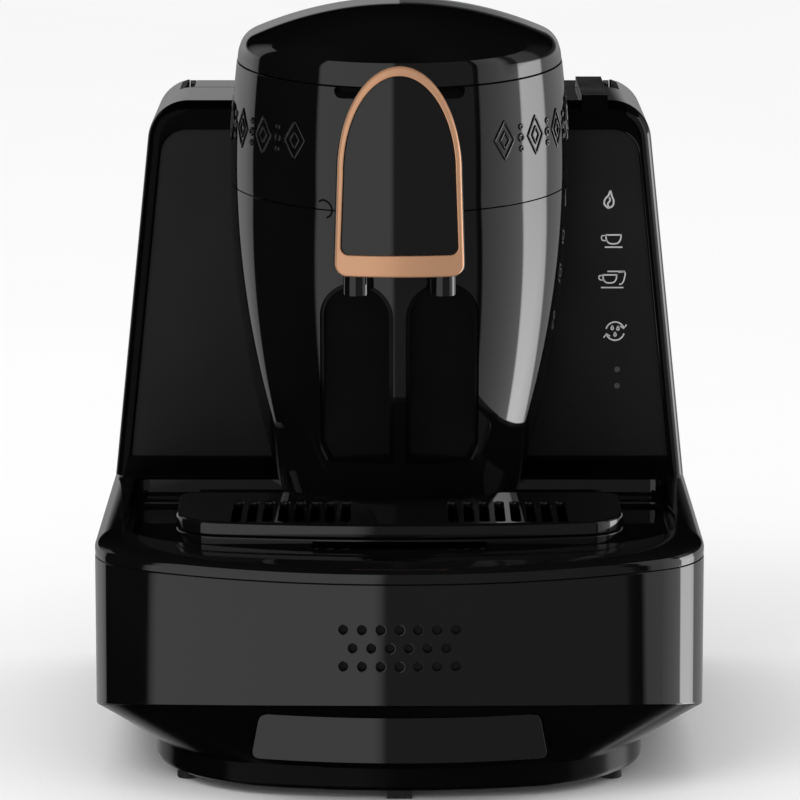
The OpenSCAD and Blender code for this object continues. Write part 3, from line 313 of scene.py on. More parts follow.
def on_barrel(off=0.0):
    """Normals of the tower's outside, moved out by off."""
    def surface(co):
        axis = np.clip(co[:, 1], AXIS_F, AXIS_R)
        d = np.c_[co[:, 0], co[:, 1] - axis]
        length = np.maximum(np.linalg.norm(d, axis=1), 1e-6)
        z = np.clip(co[:, 2], BELLY_Z - 300, BELLY_Z + 300)
        slope = (z - BELLY_Z) / np.sqrt(BELLY_R ** 2 - (z - BELLY_Z) ** 2)
        n = np.c_[d / length[:, None], slope]
        n /= np.linalg.norm(n, axis=1)[:, None]
        return n, np.abs(length - tower_r(z) - off) < 0.08
    return surface


def on_bow(r):
    """Normals of the base's bowed front, at radius r."""
    def surface(co):
        d = np.c_[co[:, 0], co[:, 1] - FRONT_Y - FRONT_R]
        length = np.linalg.norm(d, axis=1)
        n = np.c_[d / length[:, None], np.zeros(len(co))]
        return n, (np.abs(length - r) < 0.05) & (co[:, 1] < -60)
    return surface


def prism_y(name, line, y0, y1):
    return solid(name, [at_y(line, y0), at_y(line, y1)])


def prism_z(name, line, z0, z1):
    return solid(name, [at_z(line, z0), at_z(line, z1)])


def block(name, x0, x1, y0, y1, z0, z1):
    return prism_z(name, np.array([[x0, y0], [x1, y0], [x1, y1], [x0, y1]], float), z0, z1)


def lathe(name, profile, x, y, n=48):
    """A closed turned form from (radius, height) pairs."""
    return loft(name, [at_z(arc(x, y, r, 0, 360, n)[:-1], z) for r, z in profile], wrap=True)


def rounding(r, n=5):
    """Inset and drop along a quarter round."""
    return [(r - r * math.cos(a), r - r * math.sin(a)) for a in np.linspace(0, math.pi / 2, n + 1)]


def ride(piece, body, slot, material, *nodes):
    """Finish a piece: its material, its body and the nodes that it stands for. The slot is not used."""
    piece.data.materials.clear()
    piece.data.materials.append(material)
    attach(piece, body)
    if nodes:
        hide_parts(*nodes)
    return piece


def paint(piece, material, where):
    """Give the faces that where() picks, by their middle and normal, a second material."""
    piece.data.materials.append(material)
    for face in piece.data.polygons:
        face.material_index = int(where(face.center / MM, face.normal))


# ---- materials ----

def add(tree, kind):
    return tree.nodes.new("ShaderNode" + kind)


def link(tree, a, out, b, into):
    tree.links.new(a.outputs[out], b.inputs[into])


def noise(tree, coords, scale, detail=3.0, stretch=None):
    n = add(tree, "TexNoise")
    n.inputs["Scale"].default_value = scale
    n.inputs["Detail"].default_value = detail
    if stretch:
        m = add(tree, "Mapping")
        m.inputs["Scale"].default_value = stretch
        link(tree, coords, "Object", m, "Vector")
        link(tree, m, "Vector", n, "Vector")
    else:
        link(tree, coords, "Object", n, "Vector")
    return n


def two_tone(tree, source, ends, dark, light):
    """Colour from dark to light between two levels of a noise."""
    ramp = add(tree, "ValToRGB")
    for e, place, color in zip(ramp.color_ramp.elements, ends, (dark, light)):
        e.position, e.color = place, (*color, 1)
    link(tree, source, "Fac", ramp, "Fac")
    return ramp


def ranged(tree, source, out, low, high):
    m = add(tree, "MapRange")
    m.inputs["From Min"].default_value, m.inputs["From Max"].default_value = 0.3, 0.7
    m.inputs["To Min"].default_value, m.inputs["To Max"].default_value = low, high
    link(tree, source, out, m, "Value")
    return m


def material(name, dark, light, rough, metal=0.0, spec=0.5, tone=18.0, grain=900.0, bump=0.02,
             depth=0.0002, stretch=None, clear=0.0):
    """Colour and roughness vary over the surface, and a fine grain gives it relief."""
    mat = bpy.data.materials.new(name)
    mat.use_nodes = True
    tree = mat.node_tree
    shader = tree.nodes["Principled BSDF"]
    coords = add(tree, "TexCoord")
    big = noise(tree, coords, tone, 4.0, stretch)
    link(tree, two_tone(tree, big, (0.32, 0.68), dark, light), "Color", shader, "Base Color")
    wide = noise(tree, coords, tone * 2.3, 5.0, stretch)
    link(tree, ranged(tree, wide, "Fac", rough[0], rough[1]), "Result", shader, "Roughness")
    fine = noise(tree, coords, grain, 2.0, stretch)
    relief = add(tree, "Bump")
    relief.inputs["Strength"].default_value = bump
    relief.inputs["Distance"].default_value = depth
    link(tree, fine, "Fac", relief, "Height")
    link(tree, relief, "Normal", shader, "Normal")
    shader.inputs["Metallic"].default_value = metal
    shader.inputs["Specular IOR Level"].default_value = spec
    shader.inputs["Transmission Weight"].default_value = clear
    return mat


GLOSS = material("gloss_black_plastic", (0.0022, 0.0022, 0.0024), (0.0034, 0.0034, 0.0036),
                 (0.02, 0.05), bump=0.01, depth=0.00002, grain=260)
SATIN = material("satin_black_plastic", (0.006, 0.006, 0.0065), (0.011, 0.011, 0.0115), (0.34, 0.44),
                 bump=0.12, depth=0.00008, grain=2400)
MATT = material("matt_black_plastic", (0.0055, 0.0055, 0.0058), (0.008, 0.008, 0.0084), (0.44, 0.54),
                spec=0.28, bump=0.14, depth=0.00008, grain=3200)
# Painted shade: the alcoves are darker than the gloss and barely reflect, as shade in the recesses
SHADED_ALCOVE = material("alcove_painted_shade_black", (0.001, 0.001, 0.0011), (0.002, 0.002, 0.0021), (0.14, 0.22),
                  spec=0.1, bump=0.06, depth=0.00005, grain=1400)
COPPER = material("copper_trim", (0.53, 0.28, 0.155), (0.61, 0.33, 0.19), (0.3, 0.36), metal=0.42,
                  bump=0.04, depth=0.00004, grain=1500)
BADGE = material("badge_dark_gloss", (0.0022, 0.0022, 0.0024), (0.0032, 0.0032, 0.0034), (0.03, 0.06),
                 bump=0.01, depth=0.00002, grain=260)
CLOTH = material("speaker_cloth", (0.012, 0.012, 0.012), (0.02, 0.02, 0.02), (0.7, 0.85),
                 spec=0.2, bump=0.5, grain=2600)
# Painted shade: near black and barely reflecting, for faces that are to show neither light nor reflection
SHADE_BLACK = material("painted_shade_black_plastic", (0.0006, 0.0006, 0.0006), (0.0012, 0.0012, 0.0012), (0.2, 0.3),
                spec=0.05, depth=0.00003)
# Painted shade: the pan under the base is near black and barely reflecting
PAN_SHADE = material("pan_painted_shade_black", (0.0012, 0.0012, 0.0012), (0.002, 0.002, 0.002), (0.16, 0.24),
               spec=0.06, bump=0.03, depth=0.00004)
STEEL = material("brushed_steel", (0.42, 0.42, 0.43), (0.58, 0.58, 0.59), (0.22, 0.34), metal=1.0,
                 grain=700, bump=0.12, depth=0.00004, stretch=(1, 1, 14))
HEATER = material("cast_heater_metal", (0.36, 0.35, 0.33), (0.52, 0.5, 0.48), (0.4, 0.55), metal=1.0,
                  bump=0.3)
SCREW = material("screw_steel", (0.34, 0.34, 0.35), (0.48, 0.48, 0.49), (0.25, 0.35), metal=1.0,
                 bump=0.1, depth=0.00004)
RUBBER = material("rubber_feet", (0.006, 0.006, 0.006), (0.013, 0.013, 0.013), (0.6, 0.8), spec=0.3,
                  bump=0.3, depth=0.0001, grain=2600)
SEAL = material("seal_rubber", (0.2, 0.19, 0.18), (0.28, 0.27, 0.255), (0.5, 0.65), spec=0.3,
                bump=0.2, depth=0.0001, grain=1800)
HOSE = material("hose_clear", (0.55, 0.56, 0.57), (0.68, 0.69, 0.7), (0.25, 0.35), bump=0.05)
LENS = material("led_lens", (0.05, 0.05, 0.048), (0.075, 0.075, 0.072), (0.2, 0.3), bump=0.05)
BOARD = material("circuit_board", (0.01, 0.07, 0.035), (0.02, 0.11, 0.055), (0.3, 0.45), bump=0.2)
SMOKE = material("smoke_clear", (0.05, 0.052, 0.056), (0.075, 0.078, 0.084), (0.05, 0.1),
                 clear=0.82, grain=300, depth=0.00004)
WHITE = material("valve_white", (0.55, 0.55, 0.55), (0.64, 0.64, 0.64), (0.35, 0.5), bump=0.06)
PUMP = material("pump_grey", (0.07, 0.07, 0.075), (0.11, 0.11, 0.115), (0.35, 0.5), metal=0.6, bump=0.1)
RELAY = material("relay_blue", (0.02, 0.05, 0.16), (0.03, 0.07, 0.22), (0.3, 0.4), bump=0.05)
TAPE = material("transformer_yellow", (0.5, 0.36, 0.03), (0.6, 0.44, 0.05), (0.4, 0.55), bump=0.1)
ICON = material("icon_print", (0.6, 0.6, 0.6), (0.7, 0.7, 0.7), (0.45, 0.55), bump=0.05)
# Painted shade: a raised near-black matte bead stands in for the dark of an engraved groove
HOOK_GROOVE_SHADE = material("hook_groove_painted_shade", (0.001, 0.001, 0.001), (0.002, 0.002, 0.002), (0.5, 0.6), spec=0.1)
SLOTS = {
    "gloss_black": GLOSS, "satin_black": SATIN, "matt_black": MATT, "alcove_black": SHADED_ALCOVE,
    "copper_trim": COPPER, "badge_grey": BADGE, "pot_steel": STEEL, "heater_metal": HEATER,
    "screw_steel": SCREW, "rubber_feet": RUBBER, "seal_rubber": SEAL, "hose_clear": HOSE,
    "led_lens": LENS, "circuit_board": BOARD, "smoke_clear": SMOKE, "valve_white": WHITE,
    "pump_grey": PUMP, "relay_blue": RELAY, "transformer_yellow": TAPE}
# Body, slot and material of most pieces
HOUSING = ("housing", "gloss_black", GLOSS)


def dress_nodes():
    """Every node of the frame takes the material of its slot, and the tank lid's tab and tongue take the
    painted-shade black.
    """
    for part in frame["record"]["subparts"]:
        mesh = NODES[part["node"]].data
        deep = part["node"] in ("lid_tongue", "lid_tab")
        mesh.materials.clear()
        mesh.materials.append(SHADE_BLACK if deep else SLOTS[part["material_slot"]])


# ---- base ----

def skirt_z(y):
    """The base wall's lower edge rises from the rear to the front."""
    return np.maximum(SKIRT_FRONT_Z - (np.asarray(y) - FRONT_Y) * SKIRT_TAN, SKIRT_REAR_Z)


def base_ring(i, z):
    return at_z(base_line(i), z)


def speaker_holes():
    """Three rows of holes with flared edges, cut along y."""
    flare = [(0.55, -3), (0.55, 0.02), (0.25, 0.12), (0.05, 0.4), (0, 0.9), (0, 6)]
    holes = []
    for row, count in HOLE_ROWS:
        for k in range(count):
            x, z = (k - (count - 1) / 2) * HOLE_PITCH, HOLE_Z + row * HOLE_PITCH
            y = FRONT_Y + FRONT_R - math.sqrt(FRONT_R ** 2 - x * x)
            rings = [at_y(arc(x, z, HOLE_R + grow, 0, 360, 28)[:-1], y + d) for grow, d in flare]
            holes.append(solid("hole", rings))
    return join("holes", holes)


def speaker_cloth():
    """A dark cloth behind the holes, bowed as the wall is."""
    x = np.linspace(-CLOTH_HW, CLOTH_HW, 21)
    c = FRONT_Y + FRONT_R
    front, back = (c - np.sqrt((FRONT_R - WALL - d) ** 2 - x * x) for d in (0.3, 0.3 + CLOTH_T))
    line = np.vstack([np.c_[x, front], np.c_[x, back][::-1]])
    ride(shade(prism_z("speaker_cloth", line, CLOTH_Z0, CLOTH_Z1)), "housing", "satin_black", CLOTH)


def rear_cuts():
    """The recess and opening of the switch, and the hole of the cord gland."""
    inside, outside = REAR_Y - 7, REAR_Y + 5

    def switch_block(name, hw, hh, y0, y1):
        return block(name, SWITCH_X - hw, SWITCH_X + hw, y0, y1, SWITCH_Z - hh, SWITCH_Z + hh)

    gland = arc(GLAND_X, GLAND_Z, GLAND_R, 0, 360, 48)[:-1]
    return join("rear_cuts", [
        switch_block("flange", FLANGE_HW, FLANGE_HH, REAR_Y - 0.8, outside),
        switch_block("well", SWITCH_HW, SWITCH_HH, inside, REAR_Y - 0.4),
        prism_y("gland", gland, inside, outside)])


def shell_part(name, y0, y1, openings, node):
    """The wall of the base between two seams."""
    low = skirt_z(base_line(0)[:, 1])
    rings = [base_ring(WALL, low)]
    rings += [base_ring(i, low + d) for i, d in reversed(rounding(0.9))]
    rings += [base_ring(0, low + (SHELL_Z - low) * t) for t in (0.25, 0.5, 0.75)]
    rings += [base_ring(i, SHELL_Z - d) for i, d in rounding(0.45, 3)]
    rings.append(base_ring(WALL, SHELL_Z))
    piece = loft(name, rings, wrap=True)
    cut(piece, block("keep", -200, 200, y0 + 0.05, y1 - 0.05, 0, 200), "INTERSECT")
    if openings:
        cut(piece, openings)
    ride(smooth_as(shade(piece), on_bow(FRONT_R)), *HOUSING, node)


def base_shell():
    shell_part("shell_front", -200, SIDE_SEAM_Y, speaker_holes(), "base_shell")
    shell_part("shell_sides", SIDE_SEAM_Y, BACK_SEAM_Y, None, "side_shells")
    shell_part("shell_back", BACK_SEAM_Y, 200, rear_cuts(), "back_shell")
    speaker_cloth()


def deck_dip(pts):
    """How far the rim dips at the notch in the middle of the front."""
    x, y = pts[:, 0], pts[:, 1]
    across = np.clip((DIP_HW - np.abs(x)) / DIP_SLOPE, 0, 1)
    along = np.clip((y - DIP_Y) / DIP_FADE, 0, 1)
    return np.where(y < -95, DIP_DEPTH * across * across * (3 - 2 * across) * along, 0)


def deck():
    """The rim's crown, the notch in it, and the well with its rounded edge and foot."""
    rings = [base_ring(WALL, SHELL_Z + 0.02), base_ring(0.9, SHELL_Z + 0.02)]
    rings += [base_ring(i + 0.15, SHELL_Z + 0.02 + d) for i, d in reversed(rounding(0.45, 3))]
    for a in np.linspace(0, math.pi / 2, 17):
        back = (1 - math.cos(a)) ** RIM_FALL
        line = rim_line(RIM_EDGE * back, RIM_D * back)
        z = DECK_FRONT_Z + (DECK_Z - DECK_FRONT_Z) * math.sin(a)
        rings.append(at_z(line, z - deck_dip(line)))
    edge, foot = WELL_EDGE_R, WELL_FLOOR_R
    start, end = rim_line(RIM_EDGE, RIM_D), well_line(-edge)
    for t in np.linspace(0, 1, 6)[1:-1]:
        line = start * (1 - t) + end * t
        rings.append(at_z(line, DECK_Z - deck_dip(line)))
    top = DECK_Z - deck_dip(end)
    rings += [at_z(well_line(i - edge), top - d) for i, d in
              [(edge - b, edge - a) for a, b in rounding(edge, 6)][::-1]]
    rings += [at_z(well_line(0), WELL_Z + foot + (top - edge - WELL_Z - foot) * t) for t in (0.6, 0.2)]
    rings += [at_z(well_line(foot * (1 - a)), WELL_Z + foot * (1 - math.sin(math.acos(a)))) for a in
              (1.0, 0.9, 0.7, 0.4, 0.0)]
    ride(shade(loft("deck_rim", rings, cap1=True)), *HOUSING, "deck")


def rounded_poly(corners, r, n=8):
    """A closed outline with its corners rounded."""
    out = []
    m = len(corners)
    for k in range(m):
        p, a, b = (np.array(corners[j % m], float) for j in (k, k - 1, k + 1))
        u, v = (a - p) / np.linalg.norm(a - p), (b - p) / np.linalg.norm(b - p)
        for t in np.linspace(0, 1, n + 1):
            out.append((1 - t) ** 2 * (p + u * r) + 2 * t * (1 - t) * p + t * t * (p + v * r))
    return np.array(out)


def dense(line, step):
    """The same closed outline with points no further than step apart."""
    out = []
    for a, b in zip(line, np.roll(line, -1, 0)):
        n = max(1, math.ceil(np.linalg.norm(b - a) / step))
        out += [a + (b - a) * k / n for k in range(n)]
    return np.array(out)


def bottom_pan():
    """The sloping skirt under the base's wall, down to a flat foot."""
    line = base_line(0.5)
    low = skirt_z(line[:, 1])
    start, end = np.c_[line, low], np.c_[ring_line(0), np.minimum(low - 0.6, RING_Z)]
    rings = [np.c_[base_line(WALL + 1), low], start]
    rings += [start * (1 - t) + end * t for t in (0.02, 0.3, 0.6, 0.85, 0.98)]
    rings.append(end)
    rings += [at_z(ring_line(i), PAN_Z + d) for i, d in
              ((0, 2.8), (0.2, 1.8), (0.7, 0.8), (1.5, 0.2), (2.4, 0))]
    # The pan takes the painted shade under the base
    ride(shade(solid("pan", rings), 24), "housing", "satin_black", PAN_SHADE, "bottom_pan")
    front_facet()


def front_facet():
    """An upright panel stands out of the slope, bowed as the front is."""
    c, r = FRONT_Y + FRONT_R, FRONT_R - FACET_IN
    corners = [(-FACET_HW, FACET_Z0), (FACET_HW, FACET_Z0),
               (FACET_TOP_HW, FACET_Z1), (-FACET_TOP_HW, FACET_Z1)]
    outline = dense(rounded_poly(corners, 3.6), 2.5)
    middle = np.array([0, (FACET_Z0 + FACET_Z1) / 2])

    def bowed(k, back):
        x, z = ((outline - middle) * k + middle).T
        return np.c_[x, c - np.sqrt(r * r - x * x) + back, z]

    rings = [bowed(1, 24), bowed(1, 0.5), bowed(0.998, 0.15), bowed(0.993, 0.0)]
    rings += [bowed(k, 0) for k in np.linspace(0.9, 0.01, 12)]
    piece = smooth_as(shade(solid("pan_facet", rings)), on_bow(r))
    ride(piece, "housing", "satin_black", GLOSS)


# ---- drip tray ----

def drip_tray():
    """An open tray with a grip slot in its front wall."""
    z0 = WELL_Z + 0.3
    rings = [at_z(tray_line(i), z0 + d) for i, d in reversed(rounding(1.2, 4))]
    rings += [at_z(tray_line(i), TRAY_TOP - d) for i, d in rounding(0.7, 4)]
    rings.append(at_z(tray_line(TRAY_WALL - 0.5), TRAY_TOP - 0.1))
    rings.append(at_z(tray_line(TRAY_WALL), TRAY_TOP - 0.6))
    rings += [at_z(tray_line(TRAY_WALL), z0 + 3.4), at_z(tray_line(TRAY_WALL + 1), z0 + 2.2)]
    piece = solid("tray", rings)
    grip = [(-GRIP_HW, GRIP_Z0), (GRIP_HW, GRIP_Z0), (GRIP_HW, GRIP_Z1), (-GRIP_HW, GRIP_Z1)]
    cut(piece, prism_y("slot", rounded_poly(grip, 1.2, 4), TRAY_Y0 - 2, TRAY_Y0 + 8))
    ride(shade(piece), "tray", "gloss_black", GLOSS, "drip_tray")


def grille_slot(x):
    """One slot with a flared top edge."""
    rings = []
    for grow, z in ((0, GRILLE_Z0), (0, GRILLE_Z1 - 0.8), (0.3, GRILLE_Z1 - 0.3), (0.7, GRILLE_Z1 + 0.3)):
        r = SLOT_R + grow
        ends = arc(x, SLOT_Y1, r, 0, 180, 12), arc(x, SLOT_Y0, r, 180, 360, 12)
        rings.append(at_z(np.vstack(ends), z))
    return solid("slot", rings)


def cup_grille():
    """A plate with two groups of slots and a lip that hangs into the tray."""
    rings = [at_z(tray_line(3), GRILLE_Z0 + 3.3), at_z(tray_line(3), GRILLE_Z0)]
    rings += [at_z(tray_line(i), GRILLE_Z0 + d) for i, d in reversed(rounding(0.6, 3))]
    rings += [at_z(tray_line(i), GRILLE_Z1 - d) for i, d in rounding(1.5, 6)]
    piece = solid("cup_grid", rings)
    slots = [grille_slot(side * SLOT_X + (k - (SLOT_COUNT - 1) / 2) * SLOT_PITCH)
             for side in (-1, 1) for k in range(SLOT_COUNT)]
    cut(piece, join("slots", slots))
    ride(shade(piece), "grille", "satin_black", GLOSS, "cup_grille")


# ---- tower ----

def mid_seam(y):
    """The seam between the two barrels falls a little to the front."""
    return MID_Z + 0.3 + 0.068 * y


def lid_seam(y):
    """The seam under the lid falls to the front, and is level at the hinge."""
    t = AXIS_F - y
    return SEAM_Z - 0.077 * (t + np.sqrt(t * t + 36)) / 2


def barrel_ring(inset, level):
    """A ring round the tower: level gives its height at a depth y."""
    unit = oblong(1.0)
    centre = np.c_[np.zeros(len(unit)), np.clip(unit[:, 1], AXIS_F, AXIS_R)]
    unit, line = unit - centre, centre
    for _ in range(3):
        z = level(line[:, 1]) + np.zeros(len(line))
        line = centre + unit * (tower_r(z) - inset)[:, None]
    return np.c_[line, z]


def between(low, high, t, d=0.0):
    return lambda y: low(y) + (high(y) - low(y)) * t + d


def barrel(name, low, high, count, r0, r1):
    """A stretch of the tower's wall between two seams, with its edges rounded by r0 and r1."""
    rings = [barrel_ring(i, between(low, high, 0, d)) for i, d in reversed(rounding(r0, 3))]
    rings += [barrel_ring(0, between(low, high, t)) for t in np.linspace(0, 1, count)[1:-1]]
    rings += [barrel_ring(i, between(low, high, 1, -d)) for i, d in rounding(r1, 3)]
    rings += [barrel_ring(WALL, between(low, high, t)) for t in np.linspace(1, 0, 8)]
    return loft(name, rings, wrap=True)


def alcove_line(s):
    """Outline of one alcove: upright sides and a round top."""
    x, r = s * ALCOVE_X, ALCOVE_HW
    top = arc(x, ALCOVE_Z1 - r, r, 0, 180, 40)
    return np.vstack([top, [[x - r, ALCOVE_Z0], [x + r, ALCOVE_Z0]]])


def at_alcove_edge(centre, normal):
    """Whether a face is a cut edge of the barrel's wall at an alcove."""
    x, y, z = centre
    near = abs(x) < ALCOVE_X + ALCOVE_HW + 1 and y < ALCOVE_BACK + 4 and abs(normal.y) < 0.5
    near = near and ALCOVE_Z0 - 2 < z < ALCOVE_Z1 + 2
    return near and y > float(barrel_y(x, z, -0.15))


def tower_lower():
    piece = barrel("barrel_lower", lambda y: WELL_Z + 0 * y, lambda y: mid_seam(y) - 0.12, 28, 0.3, 0.35)
    for s in (-1, 1):
        cut(piece, prism_y("alcove", alcove_line(s), -95, ALCOVE_BACK))
    ride(smooth_as(shade(piece), on_barrel()), *HOUSING, "tower_lower")
    # Painted shade: the cut edges round the alcoves take the near-black, non-reflecting material
    paint(piece, SHADE_BLACK, at_alcove_edge)


def tower_upper():
    piece = barrel("barrel_upper", lambda y: mid_seam(y) + 0.12, lid_seam, 16, 0.35, 0.5)
    for s in (-1, 1):
        cut(piece, finger_notch(s))
        cut(piece, prism_y("bore", arc(s * NOZZLE_X, TUBE_Z, TUBE_R, 0, 360, 32)[:-1], -95, -28))
    cut(piece, block("lug_room", -15.1, 15.1, LID_AXIS_Y - 5, LID_AXIS_Y + 9, LID_AXIS_Z - 4, 300))
    ride(smooth_as(shade(piece), on_barrel()), *HOUSING, "tower_upper")
    for name, x0, x1 in (("ear_left", -21.8, -14.8), ("ear_right", 14.8, 21.8)):
        ride(hinge_ear(name, x0, x1, LID_AXIS_Y - 9, SEAM_Z - 9), *HOUSING)


def finger_notch(s):
    """A shallow scoop under the lid's seam."""
    z1 = float(lid_seam(barrel_y(20, SEAM_Z - 4, 0))) - 0.1
    z0 = z1 - SCOOP_H
    corners = [(SCOOP_X0, z1), (SCOOP_X1, z1), (SCOOP_X1 - 1.3, z0), (SCOOP_X0 + 1.3, z0)]
    line = dense(rounded_poly([(s * x, z) for x, z in corners], 2, 6), 1.5)
    floor = -0.4 - 1.9 * (line[:, 1] - z0) / SCOOP_H
    return solid("notch", [on_tower(line, off) for off in (3.0, floor)])


def pin_hole(x0, x1):
    """The bore for the lid's pin."""
    pin = arc(LID_AXIS_Y, LID_AXIS_Z, PIN_R, 0, 360, 24)[:-1]
    return solid("bore", [at_x(pin, x) for x in (x0, x1)])


def hinge_ear(name, x0, x1, y0, z0):
    """An ear round the lid's pin, from the housing at y0 and down to z0."""
    top = arc(LID_AXIS_Y, LID_AXIS_Z, EAR_R, 0, 125, 16)
    under = SEAM_Z - 0.45
    outer = np.vstack([[[LID_AXIS_Y + EAR_R, z0 + 5]], top,
                       [[LID_AXIS_Y - EAR_R, under], [y0, under], [y0, z0 + 3]]])
    spoke = outer - [LID_AXIS_Y, LID_AXIS_Z]
    spoke /= np.linalg.norm(spoke, axis=1)[:, None]
    ends = [(x0, 0.35), (x0 + 0.35, 0), (x1 - 0.35, 0), (x1, 0.35)]
    rings = [at_x(outer - spoke * inset, x) for x, inset in ends]
    piece = solid(name, rings)
    cut(piece, pin_hole(x0 - 1, x1 + 1))
    return shade(piece)


def crown_profile(inset):
    """Radius and height of the lid's outside, from its rim to its top."""
    a, h = float(tower_r(SEAM_Z)) - 0.4 - SHOULDER_R, TOP_Z - SHOULDER_Z
    crown_r = (a * a + h * h - SHOULDER_R ** 2) / 2 / (h - SHOULDER_R)
    crown_z = TOP_Z - crown_r
    turn = math.degrees(math.atan2(SHOULDER_Z - crown_z, a))
    side = arc(a, SHOULDER_Z, SHOULDER_R - inset, LID_LEAN, turn, 16)
    top = arc(0, crown_z, crown_r - inset, turn, 90, 40, 1)
    top[-1, 0] = 0.02
    return np.vstack([side, top])


def dome_lid():
    """A double skin: an upright edge from the sloping seam to the shoulder, and the crown."""
    out, inside = crown_profile(0), crown_profile(WALL - 0.2)
    flush = float(tower_r(FOOT_TOP)) - out[0, 0]

    def foot(t, inset, d=0.3):
        """A ring of the upright edge."""
        level = between(lambda y: lid_seam(y) + d, lambda y: FOOT_TOP + 0 * y, t)
        return barrel_ring(flush + inset, level)

    rings = [foot(0, WALL)]
    rings += [foot(0, i, 0.3 + d) for i, d in reversed(rounding(0.4, 3))]
    rings += [foot(t, 0) for t in (0.3, 0.55, 0.8)]
    rings += [at_z(oblong(r), z) for r, z in out]
    inner = loft("dome_inside", [foot(0, WALL)] + [at_z(oblong(r), z) for r, z in inside])
    piece = join("dome", [loft("dome", rings), inner])
    ride(shade(piece), "lid", "gloss_black", GLOSS, "dome_lid")
    lid_lug()


def lid_lug():
    """The lid's own lug between the two ears."""
    back = LID_AXIS_Y - 6
    ring = np.vstack([arc(LID_AXIS_Y, LID_AXIS_Z, EAR_R, -90, 90, 20),
                      [[back, LID_AXIS_Z + EAR_R], [back, LID_Z], [back + 3, LID_Z]]])
    piece = solid("lid_lug", [at_x(ring, x) for x in (-LUG_HW, LUG_HW)])
    cut(piece, pin_hole(-20, 20))
    ride(shade(piece), "lid", "gloss_black", GLOSS)


# ---- badge and nozzles ----

def on_tower(line, off):
    """An outline of x and z laid on the barrel, moved out by off."""
    return np.c_[line[:, 0], barrel_y(line[:, 0], line[:, 1], off), line[:, 1]]


def shrink(line, t):
    """An outline drawn in towards the badge's middle."""
    centre = np.array([0, BADGE_MID_Z])
    return centre + (line - centre) * t


def badge_frame(foot):
    """The copper arch, from its foot out over a rounded band and back."""
    band = (2.3, 8.7, 3.6)

    def outside(d, drop):
        return on_tower(arch(d, d, d, FRAME_R - d), FRAME_OFF - drop)

    def inside(d, drop):
        side, bottom, top = (b - d for b in band)
        return on_tower(arch(side, bottom, top, FRAME_IN_R + d), FRAME_OFF - drop)

    rings = [on_tower(arch(0, 0, 0, FRAME_R), foot), outside(0, 0.9)]
    rings += [outside(d, drop) for d, drop in ((0.12, 0.5), (0.35, 0.2), (0.8, 0.0))]
    start, end = arch(0.8, 0.8, 0.8, FRAME_R - 0.8), arch(*(b - 0.5 for b in band), FRAME_IN_R + 0.5)
    rings += [on_tower(start * (1 - t) + end * t, FRAME_OFF) for t in (0.25, 0.5, 0.75, 1)]
    rings += [inside(d, drop) for d, drop in ((0.25, 0.08), (0.08, 0.22), (0.0, 0.5))]
    rings.append(on_tower(arch(*band, FRAME_IN_R), foot))
    piece = smooth_as(shade(loft("badge_arch", rings, wrap=True)), on_barrel(FRAME_OFF))
    ride(piece, "housing", "copper_trim", COPPER, "badge_frame")


def tower_face(name, line, foot, off, drop, shares):
    """A face that follows the tower: from its foot, over an edge that drops, in to its middle."""
    rings = [on_tower(line, foot), on_tower(line, off - drop)]
    rings += [on_tower(shrink(line, t), off) for t in shares]
    return shade(loft(name, rings, cap1=True))


def badge_panel(foot):
    line, shares = arch(2.38, 8.78, 3.68, FRAME_IN_R - 0.1), (0.995, *np.linspace(0.99, 0.002, 36))
    piece = tower_face("badge_face", line, foot, PANEL_OFF, 0.25, shares)
    ride(smooth_as(piece, on_barrel(PANEL_OFF)), "housing", "badge_grey", BADGE, "badge_panel")


def spout_body():
    line, shares = arch(-0.5, -0.1, BADGE_Z1 - SEAM_Z + 1, 5), (0.985, *np.linspace(0.9, 0.01, 14))
    ride(tower_face("spout_body", line, 0.2, SPOUT_OFF, 0.6, shares), *HOUSING, "spout_block")


def nozzle(x, side):
    """A turned sleeve with a thinner bore, which stands up into the spout."""
    r, z, bore, sleeve = NOZZLE_R, NOZZLE_Z, 2.6, 208.2
    profile = [(2.5, 198), (2.5, z + 0.4), (2.9, z), (r - 0.7, z), (r - 0.2, z + 0.2), (r, z + 0.7),
               (r, BADGE_Z0 - 0.05), (bore, BADGE_Z0), (bore, sleeve), (1.6, sleeve), (1.6, 198)]
    piece = lathe("spout_tip_" + side, profile, x, NOZZLE_Y)
    ride(shade(piece), *HOUSING, "nozzle_" + side)


def badge():
    foot = SPOUT_OFF + 0.15
    badge_frame(foot)
    badge_panel(foot)
    spout_body()
    nozzle(-NOZZLE_X, "left")
    nozzle(NOZZLE_X, "right")


# ---- rear housing ----

def housing_ring(side, top, bottom, y):
    """The rear housing's front view, inset and set at a depth."""
    return at_y(wing_line(side, top, bottom), y)


